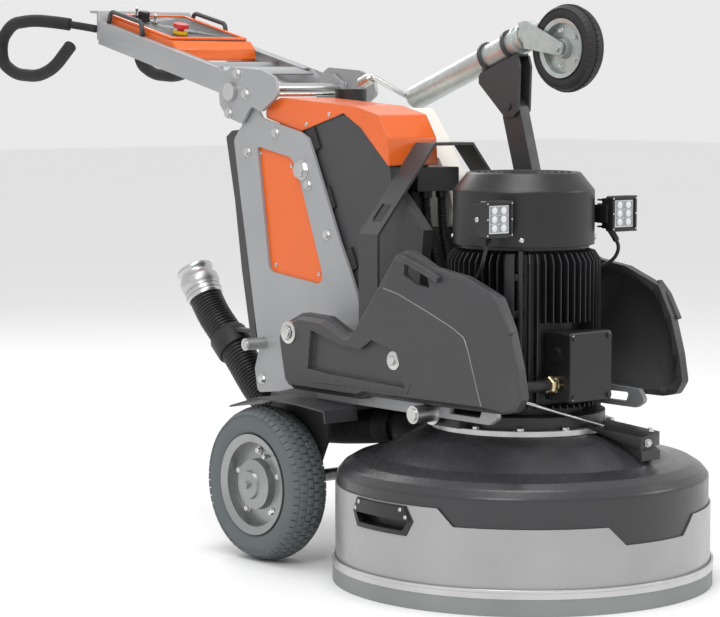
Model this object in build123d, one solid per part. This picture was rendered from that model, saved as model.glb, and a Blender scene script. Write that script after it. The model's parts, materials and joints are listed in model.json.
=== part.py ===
from build123d import *
import math
import os

# Planetary concrete grinder, millimetres, +Z up, operator stands at +Y, the grinding head is at -Y.
# Everything is drawn about the grinding head's axis and moved along Y when it is written,
# so that the row's origin is on the floor under the middle of the whole machine.

# ---- driving dimensions ----
HEAD_SHIFT_Y = -703.8          # head axis, measured from the row's origin
SKIRT_RADIUS = 427.0
BEAD_RADIUS = 429.0
BAND_RADIUS = 421.0
DOME_RADIUS = 416.5
DOME_WALL = 4.0
BAND_BOTTOM, BAND_TOP = 55.0, 220.0
FLANGE_RADIUS, FLANGE_Z = 206.0, 347.2
MOTOR_BASE_Z, MOTOR_BODY_Z, MOTOR_TOP_Z = 360.0, 386.0, 750.0
MOTOR_CORE, MOTOR_BORE, MOTOR_FIN = 135.0, 84.0, 172.0
FIN_COUNT = 44
COVER_RADIUS, COVER_Z, COVER_SHOULDER_Z, COVER_TOP_Z = 158.0, 755.0, 875.0, 915.0
SHAFT_RADIUS = 24.0
FIT = 0.05                     # radial clearance of every running fit
CARRIER_RADIUS, SATELLITE_CIRCLE, DISC_RADIUS = 385.0, 255.0, 132.0
HEAD_PIN = (45.0, 389.0)       # (y, z) of the pins that the head floats on
HEAD_PIN_RADIUS = 20.0
FORK_IN, FORK_OUT = 219.0, 231.0
WEIGHT_IN, WEIGHT_OUT = 235.0, 267.0
WEIGHT_PIVOT = (500.0, 534.0)
WEIGHT_PIN_RADIUS = 18.0
PLATE_IN, PLATE_OUT = 137.0, 145.0
CABINET_HALF = 130.0
HANDLE_PIVOT = (871.0, 1090.0)
HANDLE_PIN_RADIUS = 12.0
ARM_IN, ARM_OUT = 145.5, 149.5
PIVOT_PLATE_OUT = 158.0
ARM_SLOPE = math.tan(math.radians(13.3))
AXLE = (540.0, 180.0)
AXLE_RADIUS = 15.0
TYRE_RADIUS = 180.0
DECK_BOTTOM, DECK_TOP = 369.0, 381.0
HOSE_RADIUS, HOSE_WALL = 42.0, 3.0
PORT_RADIUS = 44.0
HOSE_X = -100.0
GRIP_X = 227.0
GRIP_RADIUS, GRIP_TUBE_RADIUS = 16.5, 10.0
JOCKEY_X = 190.0
JOCKEY_PIVOT = (231.0, 1056.0)
JOCKEY_REAR, JOCKEY_FRONT = (580.0, 1076.0), (199.0, 1215.0)
JOCKEY_WHEEL_CENTRE = (57.0, 1190.0)
JOCKEY_WHEEL_RADIUS = 100.0
LAMP_X, LAMP_Z = 191.0, 820.0
LAMP_FACE_Y, LAMP_DEPTH = -125.0, 55.0
LAMP_HALF_WIDTH, LAMP_HALF_HEIGHT = 38.0, 40.0

os.makedirs("parts", exist_ok=True)


# ---- helpers ----
def fitting_radii(points, wanted):
    """The wanted corner radius at each point, cut down where the two runs are short."""
    radii = []
    count = len(points)
    for i in range(count):
        before, here, after = (Vector(*points[(i + k) % count]) for k in (-1, 0, 1))
        turn = math.radians((here - before).get_angle(after - here))
        room = 0.45 * min((here - before).length, (after - here).length)
        radii.append(min(wanted, room / math.tan(turn / 2)))
    return radii


def outline(points, radius):
    if radius == 0:
        return make_face(Polyline(*points, close=True).edges())
    line = FilletPolyline(*points, radius=fitting_radii(points, radius), close=True)
    return make_face(line.edges())


def along_x(points, x0, x1, radius=0):
    """Prism between two X planes from a (y, z) outline."""
    plane = Plane((x0, 0, 0), x_dir=(0, 1, 0), z_dir=(1, 0, 0))
    return extrude(plane * outline(points, radius), amount=x1 - x0)


def along_y(points, y0, y1, radius=0):
    """Prism between two Y planes from an (x, z) outline."""
    plane = Plane((0, y1, 0), x_dir=(1, 0, 0), z_dir=(0, -1, 0))
    return extrude(plane * outline(points, radius), amount=y1 - y0)


def along_z(points, z0, z1, radius=0):
    """Prism between two Z planes from an (x, y) outline."""
    return extrude(Plane.XY.offset(z0) * outline(points, radius), amount=z1 - z0)


def block(x0, x1, y0, y1, z0, z1):
    middle = Pos((x0 + x1) / 2, (y0 + y1) / 2, (z0 + z1) / 2)
    return middle * Box(x1 - x0, y1 - y0, z1 - z0)


def bar(start, end, radius):
    start, end = Vector(*start), Vector(*end)
    return Solid.make_cylinder(radius, (end - start).length, Plane(origin=start, z_dir=end - start))


def pipe(start, end, outer, inner):
    return bar(start, end, outer) - bar(start, end, inner)


def pin_x(centre, radius, x0, x1):
    return bar((x0, *centre), (x1, *centre), radius)


def ring(outer, inner, z0, z1):
    return bar((0, 0, z0), (0, 0, z1), outer) - bar((0, 0, z0), (0, 0, z1), inner)


def turned(points, radius=0):
    """Solid of revolution about the head's axis from a (radius, z) outline."""
    return revolve(Plane.XZ * outline(points, radius), axis=Axis.Z)


def turned_x(points, centre, radius=0):
    """Solid of revolution about a line along X from an (x, radius) outline."""
    return Pos(0, *centre) * revolve(Plane.XZ * outline(points, radius), axis=Axis.X)


def across(shape):
    return mirror(shape, about=Plane.YZ)


def both(shape):
    return [shape, across(shape)]


def path_tube(route, radii, outer, inner=0):
    path = FilletPolyline(*route, radius=radii)
    start = Plane(origin=path @ 0, z_dir=path % 0)
    section = Circle(outer) - Circle(inner) if inner else Circle(outer)
    return sweep(start * section, path=path)


def route_radii(route):
    """Each arc as large as its two runs allow."""
    radii = []
    for before, here, after in zip(route, route[1:], route[2:]):
        before, here, after = Vector(*before), Vector(*here), Vector(*after)
        turn = math.radians((here - before).get_angle(after - here))
        room = 0.45 * min((here - before).length, (after - here).length)
        radii.append(room / math.tan(turn / 2))
    return radii


def save(node, *shapes):
    solids = [solid for shape in shapes for solid in shape.solids()]
    whole = Compound(solids) if len(solids) > 1 else solids[0]
    export_step(Pos(0, HEAD_SHIFT_Y, 0) * whole, f"parts/{node}.step")


def bolt_x(centre, x, size, height=6.0):
    """Hexagon head with its washer, standing on the outer face at x, on either side."""
    side = 1 if x > 0 else -1
    washer = pin_x(centre, size * 0.72, x, x + side * 1.5)
    start = x + side * 1.5
    plane = Plane((start, *centre), x_dir=(0, 1, 0), z_dir=(side, 0, 0))
    head = extrude(plane * RegularPolygon(size * 0.56, 6), amount=height)
    return [washer, head]


def bolt_z(x, y, z, size, height=5.0):
    head = extrude(Plane((x, y, z)) * RegularPolygon(size * 0.56, 6), amount=height)
    return head


# ---- grinding head: skirt, band, dome ----
def skirt():
    save("skirt_rubber", ring(SKIRT_RADIUS, BAND_RADIUS + 1, 0, 37))
    trim = ring(SKIRT_RADIUS + 1, BAND_RADIUS + 1, 37, 49.5)
    bead = turned([(BAND_RADIUS + 1, 49.5), (BEAD_RADIUS, 49.5), (BEAD_RADIUS, 57),
                   (BAND_RADIUS + 1, 57)], 2)
    save("skirt_clamp_ring", trim, bead)


POCKET = [(-98, 186), (-80, 218), (80, 218), (98, 186), (80, 154), (-80, 154)]
POCKET_LIP = [(-86, 186), (-71, 208), (71, 208), (86, 186), (71, 164), (-71, 164)]


def shroud_band():
    band = ring(BAND_RADIUS, BAND_RADIUS - 3.5, BAND_BOTTOM, BAND_TOP)
    step = [(-392, 240), (-392, 220), (-377, 183), (-130, 183), (-88, 142), (88, 142), (130, 183),
            (377, 183), (392, 220), (392, 240)]
    band -= along_y(step, -500, -100, 4)
    for side in (-1, 1):
        band -= along_x(POCKET, side * 300, side * 500)
    save("shroud_band", band)


def band_handles():
    """A recessed hand pocket on each side, with a dark plate over its upper half."""
    cup = (ring(BAND_RADIUS + 3, 392, 140, 230) & along_x(POCKET, 300, 500))
    cup -= ring(BAND_RADIUS + 10, 395, 140, 230) & along_x(POCKET_LIP, 300, 500)
    hand_plate = ring(BAND_RADIUS + 6, BAND_RADIUS + 3.1, 187, 216)
    hand_plate &= along_x([(-92, 187), (-78, 216), (78, 216), (92, 187)], 300, 500)
    save("band_handles", *both(cup), *both(hand_plate))


def head_dome():
    outside = [(DOME_RADIUS, 130), (DOME_RADIUS, 245), (402, 262), (380, 275), (330, 286), (250, 330),
               (210, 347)]
    inside = [(207, 343), (248, 326), (329, 282), (378, 271), (399, 259), (412.5, 243), (412.5, 130)]
    dome = turned(outside + inside, 12)
    for side in (-1, 1):
        dome -= along_x(POCKET, side * 300, side * 500)
    port = Vector(HOSE[-1][0], 250, HOSE[-1][2]), Vector(HOSE[-1][0], 412, HOSE[-1][2])
    dome += bar(*port, PORT_RADIUS)
    dome -= bar(port[0] - Vector(0, 10, 0), port[1] + Vector(0, 10, 0), PORT_RADIUS - 5)
    save("head_dome", dome.solid())


def gearbox_housing():
    """Structural casting: gearbox, the flange that clamps the dome, and the lower spider plate."""
    flange = ring(FLANGE_RADIUS, SHAFT_RADIUS + FIT, FLANGE_Z, FLANGE_Z + 12)
    case = ring(120, 100, 205, FLANGE_Z)
    bottom = ring(375, 30 + FIT, 193, 205)
    ribs = [Rot(0, 0, angle) * block(118, 370, -5, 5, 205, 245) for angle in range(0, 360, 45)]
    save("gearbox_housing", (flange + case + bottom + ribs).solid())
    heads = []
    for step in range(12):
        angle = math.radians(30 * step + 15)
        x, y = 195.5 * math.sin(angle), -195.5 * math.cos(angle)
        if abs(x) < 140 or y < -45:
            heads.append(bolt_z(x, y, FLANGE_Z + 12, 15, 6))
    save("head_bolts", *heads)


def planetary_drive():
    """Carrier drum on the output shaft, with three satellite discs that carry the tools."""
    drum = ring(CARRIER_RADIUS, 29, 96, 124) + bar((0, 0, 96), (0, 0, 240), 30)
    spots = []
    for step in range(3):
        angle = math.radians(90 + 120 * step)
        spots.append((SATELLITE_CIRCLE * math.cos(angle), SATELLITE_CIRCLE * math.sin(angle)))
    for x, y in spots:
        drum += bar((x, y, 70), (x, y, 150), 48)
    for x, y in spots:
        drum -= bar((x, y, 60), (x, y, 170), 20 + FIT)
    save("planet_carrier", drum.solid())
    for number, (x, y) in enumerate(spots, 1):
        disc = bar((x, y, 26), (x, y, 42), DISC_RADIUS) + bar((x, y, 42), (x, y, 66), 60)
        disc += bar((x, y, 60), (x, y, 160), 20)
        disc += bar((x, y, 160), (x, y, 172), 34)
        tools = []
        for step in range(6):
            turn = math.radians(60 * step)
            cx, cy = x + 95 * math.cos(turn), y + 95 * math.sin(turn)
            tools.append(Pos(cx, cy, 13) * Rot(0, 0, 60 * step) * Box(28, 62, 26))
            if step % 2 == 0:
                hx, hy = x + 48 * math.cos(turn), y + 48 * math.sin(turn)
                disc -= bar((hx, hy, 20), (hx, hy, 34), 5)
        save(f"grinding_disc_{number}", disc.solid(), *tools)


# ---- motor ----
def motor():
    fins = ring(MOTOR_CORE, MOTOR_BORE, MOTOR_BODY_Z, MOTOR_TOP_Z)
    for step in range(FIN_COUNT):
        fin = block(MOTOR_CORE - 4, MOTOR_FIN, -2, 2, MOTOR_BODY_Z + 16, MOTOR_TOP_Z - 6)
        fins += Rot(0, 0, step * 360 / FIN_COUNT + 4) * fin
    fins -= block(-76, 58, -250, -143, 412, 586)
    fins += block(-50, 30, -143, -120, 440, 560)
    fins += ring(MOTOR_CORE, SHAFT_RADIUS + FIT, MOTOR_TOP_Z - 1, MOTOR_TOP_Z + 4)
    save("motor_frame", fins.solid(), ring(MOTOR_BORE - 0.5, 66, 430, 700))
    base = ring(185, SHAFT_RADIUS + FIT, MOTOR_BASE_Z, MOTOR_BODY_Z)
    for side in (-1, 1):
        base += block(*sorted((side * 150, side * 218.5)), -30, 110, MOTOR_BASE_Z, MOTOR_BODY_Z)
        lug = [(5, MOTOR_BASE_Z), (5, 405), (25, 422), (65, 422), (85, 405), (85, MOTOR_BASE_Z)]
        base += along_x(lug, *sorted((side * 208, side * 218.5)))
        base -= pin_x(HEAD_PIN, HEAD_PIN_RADIUS + FIT, side * 200, side * 225)
    save("motor_base", base.solid())
    rotor = bar((0, 0, 332), (0, 0, 850), SHAFT_RADIUS) + bar((0, 0, 440), (0, 0, 690), 64)
    fan = ring(50, SHAFT_RADIUS, 785, 830)
    for step in range(9):
        fan += Rot(0, 0, 40 * step) * block(45, 138, -2, 2, 790, 840)
    save("motor_rotor", rotor.solid(), fan.solid())
    cover = turned([(COVER_RADIUS, COVER_Z), (COVER_RADIUS, COVER_SHOULDER_Z), (126, COVER_TOP_Z),
                    (118, COVER_TOP_Z), (118, COVER_TOP_Z - 3), (124, COVER_TOP_Z - 3),
                    (COVER_RADIUS - 3, COVER_SHOULDER_Z - 1), (COVER_RADIUS - 3, COVER_Z)], 8)
    grille = ring(118.5, 111, 909, 914)
    for radius in range(20, 111, 15):
        grille += ring(radius + 2, radius - 2, 909, 914)
    for step in range(8):
        grille += Rot(0, 0, 45 * step) * block(0, 114, -3, 3, 907, 911)
    save("fan_cover", (cover + grille).solid(), *lamp_brackets())


def terminal_box():
    y_back, y_lid, y_front = -145, -205, -225
    box = block(-70, 52, y_lid, y_back, 425, 572)
    box -= block(-64, 46, y_lid - 1, y_back - 6, 431, 566)
    box -= bar((-80, -178, 460), (-60, -178, 460), 12)
    lid = along_y([(-73, 422), (-73, 575), (55, 575), (55, 422)], y_front, y_lid, 8)
    lid = fillet(lid.faces().sort_by(Axis.Y)[0].edges(), 4)
    screws = [bar((x, y_front, z), (x, y_front - 4, z), 6) for x in (-62, 44) for z in (434, 563)]
    plug = bar((-70, -178, 525), (-76, -178, 525), 15)
    save("terminal_box", box.solid(), lid, *screws, plug)


def cable_gland():
    gland = bar((-70, -178, 460), (-78, -178, 460), 19) + bar((-78, -178, 460), (-96, -178, 460), 16)
    gland -= bar((-60, -178, 460), (-100, -178, 460), 13)
    return gland


MOTOR_CABLE_RADIUS = 12.5
MOTOR_CABLE = [(-96, -178, 460), (-140, -178, 459), (-178, -158, 458), (-200, -120, 457),
               (-203, -70, 458), (-199, -20, 462), (-196, 30, 466)]


def motor_cable():
    radii = route_radii(MOTOR_CABLE)
    print("motor cable arcs", [round(r) for r in radii])
    socket = bar((-196, 30.2, 466), (-192, 75, 470), 19) + block(-206, -176, 75, 120, 445, 495)
    cable = path_tube(MOTOR_CABLE, radii, MOTOR_CABLE_RADIUS)
    save("motor_cable", cable, cable_gland(), socket.solid())


def front_bracket():
    """Hinged transport bracket on the dome's front, and the thin stay rod above it."""
    side = [(-322, 296), (-322, 316), (-232, 358), (-210, 364), (-210, 353), (-246, 339)]
    body = along_x(side, 50, 107)
    body -= along_x([(-318, 280), (-318, 310), (-230, 352), (-200, 354), (-200, 330)], 56, 101)
    hinge_bolt = bar((107, -296, 307), (115, -296, 307), 7)
    rod = bar((-185, -135, 440), (38, -216, 363), 3.5)
    save("front_bracket", body.solid(), hinge_bolt, rod)


# ---- work lamps ----
LAMP_PIVOT = (LAMP_FACE_Y + 28, LAMP_Z)


def lamp_brackets():
    """Arm shaped to the fan cover, with the pin that its lamp tilts on, on each side."""
    arm = block(143.5, 149.5, -117, -35, LAMP_Z - 20, LAMP_Z + 20)
    arm -= bar((0, 0, 700), (0, 0, 900), COVER_RADIUS + 0.05)
    arm = max(arm.solids(), key=lambda solid: solid.volume)
    pin = pin_x(LAMP_PIVOT, 5, 149.5, LAMP_X - LAMP_HALF_WIDTH + 15)
    return both(arm + pin)


def lamps():
    z0, z1 = LAMP_Z - LAMP_HALF_HEIGHT, LAMP_Z + LAMP_HALF_HEIGHT
    x0, x1 = LAMP_X - LAMP_HALF_WIDTH, LAMP_X + LAMP_HALF_WIDTH
    back = LAMP_FACE_Y + LAMP_DEPTH
    housing = along_y([(x0, z0), (x0, z1), (x1, z1), (x1, z0)], LAMP_FACE_Y, LAMP_FACE_Y + 20, 6)
    housing += block(x0 + 8, x1 - 6, LAMP_FACE_Y + 18, LAMP_FACE_Y + 40, z0 + 6, z1 - 6)
    for step in range(7):
        z = z0 + 8 + 10 * step
        housing += block(x0 + 8, x1 - 6, LAMP_FACE_Y + 38, back, z, z + 4)
    housing -= block(x0 + 9, x1 - 9, LAMP_FACE_Y - 1, LAMP_FACE_Y + 6, z0 + 10, z1 - 10)
    boss = pin_x(LAMP_PIVOT, 12, x0, x0 + 10)
    housing = housing + boss - pin_x(LAMP_PIVOT, 5 + FIT, x0 - 1, x0 + 16)
    lens = block(x0 + 9.2, x1 - 9.2, LAMP_FACE_Y + 2, LAMP_FACE_Y + 6, z0 + 10.2, z1 - 10.2)
    save("left_lamp", housing, lens)
    save("right_lamp", across(housing), across(lens))


# ---- chassis ----
SIDE_PLATE = [(788, 356), (645, 373), (645, 382), (430, 382), (390, 582), (433, 672), (470, 738),
              (574, 953), (589, 981), (620, 995), (768, 1026), (796, 1062), (806, 1112), (845, 1134),
              (895, 1130), (906, 1086), (862, 1040), (844, 1009), (860, 997), (881, 971), (854, 825),
              (834, 727), (783, 460), (800, 414)]
WINDOW = [(788, 958), (659, 935), (632, 909), (537, 666), (534, 647), (553, 637), (730, 655), (742, 664),
          (784, 937)]
PLATE_BOLTS = ((825, 943), (713, 991), (590, 870), (518, 755), (770, 390))
CABINET = [(790, 384), (860, 980), (858, 1000), (470, 1038), (408, 1007), (308, 920), (302, 882),
           (270, 858), (190, 780), (210, 600), (300, 384)]
CABINET_INSIDE = [(786, 388), (855, 980), (852, 996), (472, 1034), (411, 1004), (311, 917), (305, 884),
                  (273, 860), (195, 779), (214, 602), (303, 388)]
TANK = [(755, 1051), (455, 1051), (400, 985), (338, 893), (312, 800), (330, 772), (755, 772)]
HOOD = [(764, 1060), (704, 1076), (430, 1058), (345, 1038), (310, 985), (304, 922), (308, 921.5),
        (408, 1008.5), (470, 1041), (631, 996), (764, 1027)]


def side_plates():
    plate = along_x(SIDE_PLATE, PLATE_IN, PLATE_OUT, 14) - along_x(WINDOW, 130, 150, 12)
    plate -= pin_x(HANDLE_PIVOT, HANDLE_PIN_RADIUS, 130, 150)
    save("side_plates", *both(plate))
    panel = [(800, 970), (650, 945), (622, 915), (522, 665), (520, 640), (545, 624), (742, 643),
             (758, 660), (800, 940)]
    save("window_panels", *both(along_x(panel, 132.5, PLATE_IN - 0.1, 12)))
    bolts = []
    for centre in PLATE_BOLTS:
        bolts += bolt_x(centre, PLATE_OUT, 17) + bolt_x(centre, -PLATE_OUT, 17)
    for side in (-1, 1):
        bolts += bolt_x((613, 905), side * PLATE_OUT, 34, 12)
    save("chassis_bolts", *bolts)


def cabinet():
    shell = along_x(CABINET, -CABINET_HALF, CABINET_HALF) \
        - along_x(CABINET_INSIDE, -CABINET_HALF + 4, CABINET_HALF - 4)
    recess = block(-102, 102, 100, 342, 430, 1000)
    recess_wall = block(-126, 126, 338, 342, 390, 940)
    shell = shell - recess + (recess_wall & along_x(CABINET, -126, 126))
    shell -= block(14, 140, 100, 757, 770, 1100)
    shell += block(14, 126, 342, 757, 764, 770) + block(10, 14, 342, 757, 764, 1032)
    shell &= along_x(CABINET, -CABINET_HALF, CABINET_HALF)
    save("cabinet", max(shell.solids(), key=lambda solid: solid.volume))


def hood():
    outer = along_x(HOOD, -134.5, 13, 10)
    inner = along_x([(770, 1000), (770, 1052), (704, 1072), (430, 1054), (348, 1034), (314, 984), (309, 900)],
                    -131.5, 10)
    shell = outer - inner
    shell -= along_x(CABINET, -CABINET_HALF - 1.2, 150)
    save("hood", max(shell.solids(), key=lambda solid: solid.volume))


def water_tank():
    tank = along_x(TANK, 18, 131.5, 12)
    tank -= block(0, 72, 250, 372, 700, 935)
    neck = bar((70, 690, 1051), (70, 690, 1062), 30)
    save("water_tank", (tank + neck).solid())
    cap = bar((70, 690, 1063), (70, 690, 1096), 39)
    cap -= bar((70, 690, 1060), (70, 690, 1090), 33)
    save("filler_cap", cap)


def front_box():
    """Connector box under the hood's nose, the lower junction box and the inverter inside."""
    box = along_y([(-65, 862), (-65, 917), (62, 917), (62, 862)], 285, 337.8, 4)
    glands = []
    for x, y in ((30, 308), (-20, 308)):
        glands.append(bar((x, y, 862), (x, y, 846), 15))
    glands.append(bar((-50, 318, 862), (-50, 318, 850), 9))
    junction = block(-70, 70, 258, 337.8, 432, 500)
    inverter = block(-90, 90, 420, 720, 480, 740)
    save("electrics", box, *glands, junction, inverter)


CONDUIT_RADIUS = 11.0
CONDUITS = ([(30, 308, 846), (30, 308, 780), (34, 286, 700), (38, 268, 630), (38, 280, 556), (36, 292, 530),
             (36, 292, 500)],
            [(-20, 308, 846), (-20, 308, 790), (-15, 280, 715), (-12, 264, 640), (-14, 276, 560),
             (-16, 288, 530), (-16, 288, 500)])


def conduits():
    tubes = []
    for route in CONDUITS:
        radii = route_radii(route)
        print("conduit arcs", [round(r) for r in radii])
        tubes.append(path_tube(route, radii, CONDUIT_RADIUS))
    save("cable_conduits", *tubes)


def roll_hoop():
    outer_line = [(-231, 600), (-231, 772), (-60, 975), (60, 975), (231, 772), (231, 600)]
    inner_line = [(224.5, 600), (224.5, 769.5), (57, 968.5), (-57, 968.5), (-224.5, 769.5), (-224.5, 600)]
    strap = along_y(outer_line + inner_line, 232, 298, 3)
    legs = []
    for side in (-1, 1):
        foot = [(232, 690), (298, 690), (298, 426.2), (200, 426.2), (200, 480), (232, 560)]
        legs.append(along_x(foot, *sorted((side * 224.5, side * 231)), 8))
    hoop = (strap & block(-300, 300, 200, 320, 680, 1000)) + legs[0] + legs[1]
    slot = [(246, 800), (246, 838), (282, 838), (282, 800)]
    lean = Pos(-196, 0, 0) * along_x(slot, -60, 60, 6)
    save("roll_hoop", (hoop - lean).solid())


def fork():
    arm = along_x([(-140, DECK_TOP), (-168, 398), (-150, 424), (-60, 426), (450, 426), (450, DECK_TOP)],
                  FORK_IN, FORK_OUT, 10)
    arm -= along_x([(-110, 393), (-118, 414), (-20, 414), (-8, 393)], 200, 240, 5)
    arm -= pin_x(HEAD_PIN, HEAD_PIN_RADIUS, 200, 240)
    save("fork_arms", *both(arm))
    pin = pin_x(HEAD_PIN, HEAD_PIN_RADIUS, 208.5, 288) + pin_x(HEAD_PIN, 14, 288, 292)
    pin += pin_x(HEAD_PIN, 27, FORK_OUT, 234)
    stub = pin_x(WEIGHT_PIVOT, 30, PLATE_OUT, WEIGHT_IN - 0.5)
    stub += pin_x(WEIGHT_PIVOT, WEIGHT_PIN_RADIUS, 200, WEIGHT_OUT + 0.5)
    stub += pin_x(WEIGHT_PIVOT, 26, WEIGHT_OUT + 0.5, WEIGHT_OUT + 5)
    stub += pin_x(WEIGHT_PIVOT, 15, WEIGHT_OUT + 5, WEIGHT_OUT + 15)
    peg = pin_x((763, 479), 15, PLATE_OUT, 203) + pin_x((763, 479), 11, 203, 206)
    axle = bar((-352, *AXLE), (352, *AXLE), AXLE_RADIUS)
    save("chassis_pins", *both(pin), *both(stub), *both(peg), axle)


def undercarriage():
    deck = along_z([(-250, 300), (-250, 600), (-136, 640), (-136, 740), (136, 740), (136, 640),
                    (250, 600), (250, 300)], DECK_BOTTOM, DECK_TOP)
    leg = along_x([(386, DECK_BOTTOM), (386, 300), (470, 130), (540, 120), (600, 170), (598, DECK_BOTTOM)],
                  240, 250, 20)
    for piece in both(leg):
        deck += piece
    deck += block(-250, 250, 590, 596, 332, DECK_BOTTOM)
    deck -= bar((-300, *AXLE), (300, *AXLE), AXLE_RADIUS)
    fender = [(640, 352), (634, 356), (531, 385), (389, 385), (283, 378), (278, 350), (282, 349),
              (287, 374), (389, 381), (531, 381), (632, 352)]
    save("undercarriage", deck.solid(), *both(along_x(fender, 250.1, 345)))


def rear_cover():
    shape = [(804, 478), (826, 481), (862, 652), (889, 823), (924, 978), (900, 994), (862, 997),
             (861, 980)]
    cover = along_x(shape, -136.5, 136.5, 6)
    cover += block(-60, 60, 866, 878, 700, 716)
    upper, lower = Vector(*HOSE[2]), Vector(*HOSE[3])
    middle, way = (upper + lower) * 0.5, (upper - lower).normalized()
    cover += pipe(middle - way * 22, middle + way * 22, HOSE_RADIUS + 5, HOSE_RADIUS + 1)
    cover += block(HOSE_X - 12, HOSE_X + 12, 829, 925, 493, 502)
    cover -= bar(middle - way * 40, middle + way * 40, HOSE_RADIUS + 1)
    save("rear_cover", cover.solid())


HOSE = [(HOSE_X, 1068.5, 576), (HOSE_X, 1038, 533), (HOSE_X, 985, 490), (HOSE_X, 918, 432), (HOSE_X, 850, 362),
        (HOSE_X, 770, 304), (HOSE_X + 20, 680, 284), (HOSE_X + 50, 590, 284), (HOSE_X + 75, 505, 292),
        (HOSE_X + 82, 430, 302)]


def dust_hose():
    radii = route_radii(HOSE)
    print("hose arcs", [round(r) for r in radii])
    save("dust_hose", path_tube(HOSE, radii, HOSE_RADIUS, HOSE_RADIUS - HOSE_WALL))
    start = Vector(*HOSE[0])
    way = (start - Vector(*HOSE[1])).normalized()
    begin, end = start + way * 0.2, start + way * 74
    body = pipe(begin, end, 43, 37)
    for at, width, radius in ((2, 8, 46), (24, 22, 50), (64, 10, 48)):
        body += pipe(start + way * at, start + way * (at + width), radius, 40)
    save("hose_coupling", body.solid())


def neck():
    spacer = bar((-PLATE_IN, 748, 1084), (PLATE_IN, 748, 1084), 6)
    shaft = bar((-162, *HANDLE_PIVOT), (162, *HANDLE_PIVOT), HANDLE_PIN_RADIUS)
    cross = bar((-PLATE_IN, 826, 1098), (PLATE_IN, 826, 1098), 13)
    ends = [pin_x(HANDLE_PIVOT, 22, side * 158.5, side * 170) for side in (-1, 1)]
    shaft = shaft + ends[0] + ends[1]
    save("neck_tubes", shaft, spacer, cross)


# ---- handle ----
def arm_z(y, top):
    """Height of the arm's top or bottom edge."""
    return (1146 if top else 1086) + (y - 930) * ARM_SLOPE


def handle():
    web = [(800, 1070), (800, 1112), (930, arm_z(930, True)), (1466, arm_z(1466, True)),
           (1466, arm_z(1466, False)), (930, arm_z(930, False)), (880, 1062)]
    arm = along_x(web, ARM_IN, ARM_OUT, 4)
    arm -= pin_x(HANDLE_PIVOT, HANDLE_PIN_RADIUS + FIT, 140, 155)
    for top in (True, False):
        edge = -4 if top else 0
        flange = [(948, arm_z(948, top) + edge), (1466, arm_z(1466, top) + edge),
                  (1466, arm_z(1466, top) + edge + 4), (948, arm_z(948, top) + edge + 4)]
        arm += along_x(flange, 126, ARM_OUT)
    cross_plate = along_x([(1466, 1224), (1466, 1296), (1472, 1300), (1504, 1300), (1504, 1294), (1472, 1292),
                           (1472, 1224)], -ARM_OUT, ARM_OUT)
    top_plate = along_x([(905, arm_z(905, True) - 9), (975, arm_z(975, True) - 9),
                         (975, arm_z(975, True) - 5), (905, arm_z(905, True) - 5)], -125.9, 125.9)
    top_plate += along_x([(955, arm_z(955, True) - 20), (959, arm_z(959, True) - 20),
                          (959, arm_z(959, True) - 5), (955, arm_z(955, True) - 5)], -ARM_IN, ARM_IN)
    frame = arm + across(arm) + cross_plate + top_plate
    frame += bar((-ARM_IN, 1085, 1152), (ARM_IN, 1085, 1152), 12.5)
    save("handle_frame", frame.solid(), *both(grip_rod()), *grab_guards())
    plate = along_x([(924, 1084), (916, 1128), (875, 1150), (754, 1142), (699, 1125), (688, 1082), (755, 1041),
                     (795, 1055), (831, 1011), (892, 1028), (921, 1057)], ARM_OUT + 0.1, PIVOT_PLATE_OUT, 16)
    plate -= pin_x(HANDLE_PIVOT, HANDLE_PIN_RADIUS + FIT, 140, 165)
    save("pivot_plates", *both(plate))
    bolts = []
    for centre in ((850, 1134), (816, 1084), (884, 1037)):
        bolts += bolt_x(centre, PIVOT_PLATE_OUT, 19) + bolt_x(centre, -PIVOT_PLATE_OUT, 19)
    save("handle_bolts", *bolts)


GRIP = [(148, 1478, 1252), (162, 1520, 1259), (205, 1578, 1270), (GRIP_X, 1655, 1277), (GRIP_X, 1765, 1270),
        (GRIP_X, 1822, 1225), (GRIP_X, 1818, 1165), (GRIP_X, 1750, 1134), (GRIP_X, 1640, 1128),
        (GRIP_X, 1560, 1150), (GRIP_X, 1482, 1206)]


def grip_rod():
    return path_tube(GRIP, route_radii(GRIP), GRIP_TUBE_RADIUS)


def foam_grips():
    """Foam over the rod from the middle of its second run to its free end."""
    radii = route_radii(GRIP)
    print("grip arcs", [round(r) for r in radii])
    start = (Vector(*GRIP[1]) + Vector(*GRIP[2])) * 0.5
    foam = path_tube([start] + GRIP[2:], radii[1:], GRIP_RADIUS, GRIP_TUBE_RADIUS)
    save("foam_grips", *both(foam))


def console_z(y):
    return 1213 + (y - 1150) * ARM_SLOPE


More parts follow.
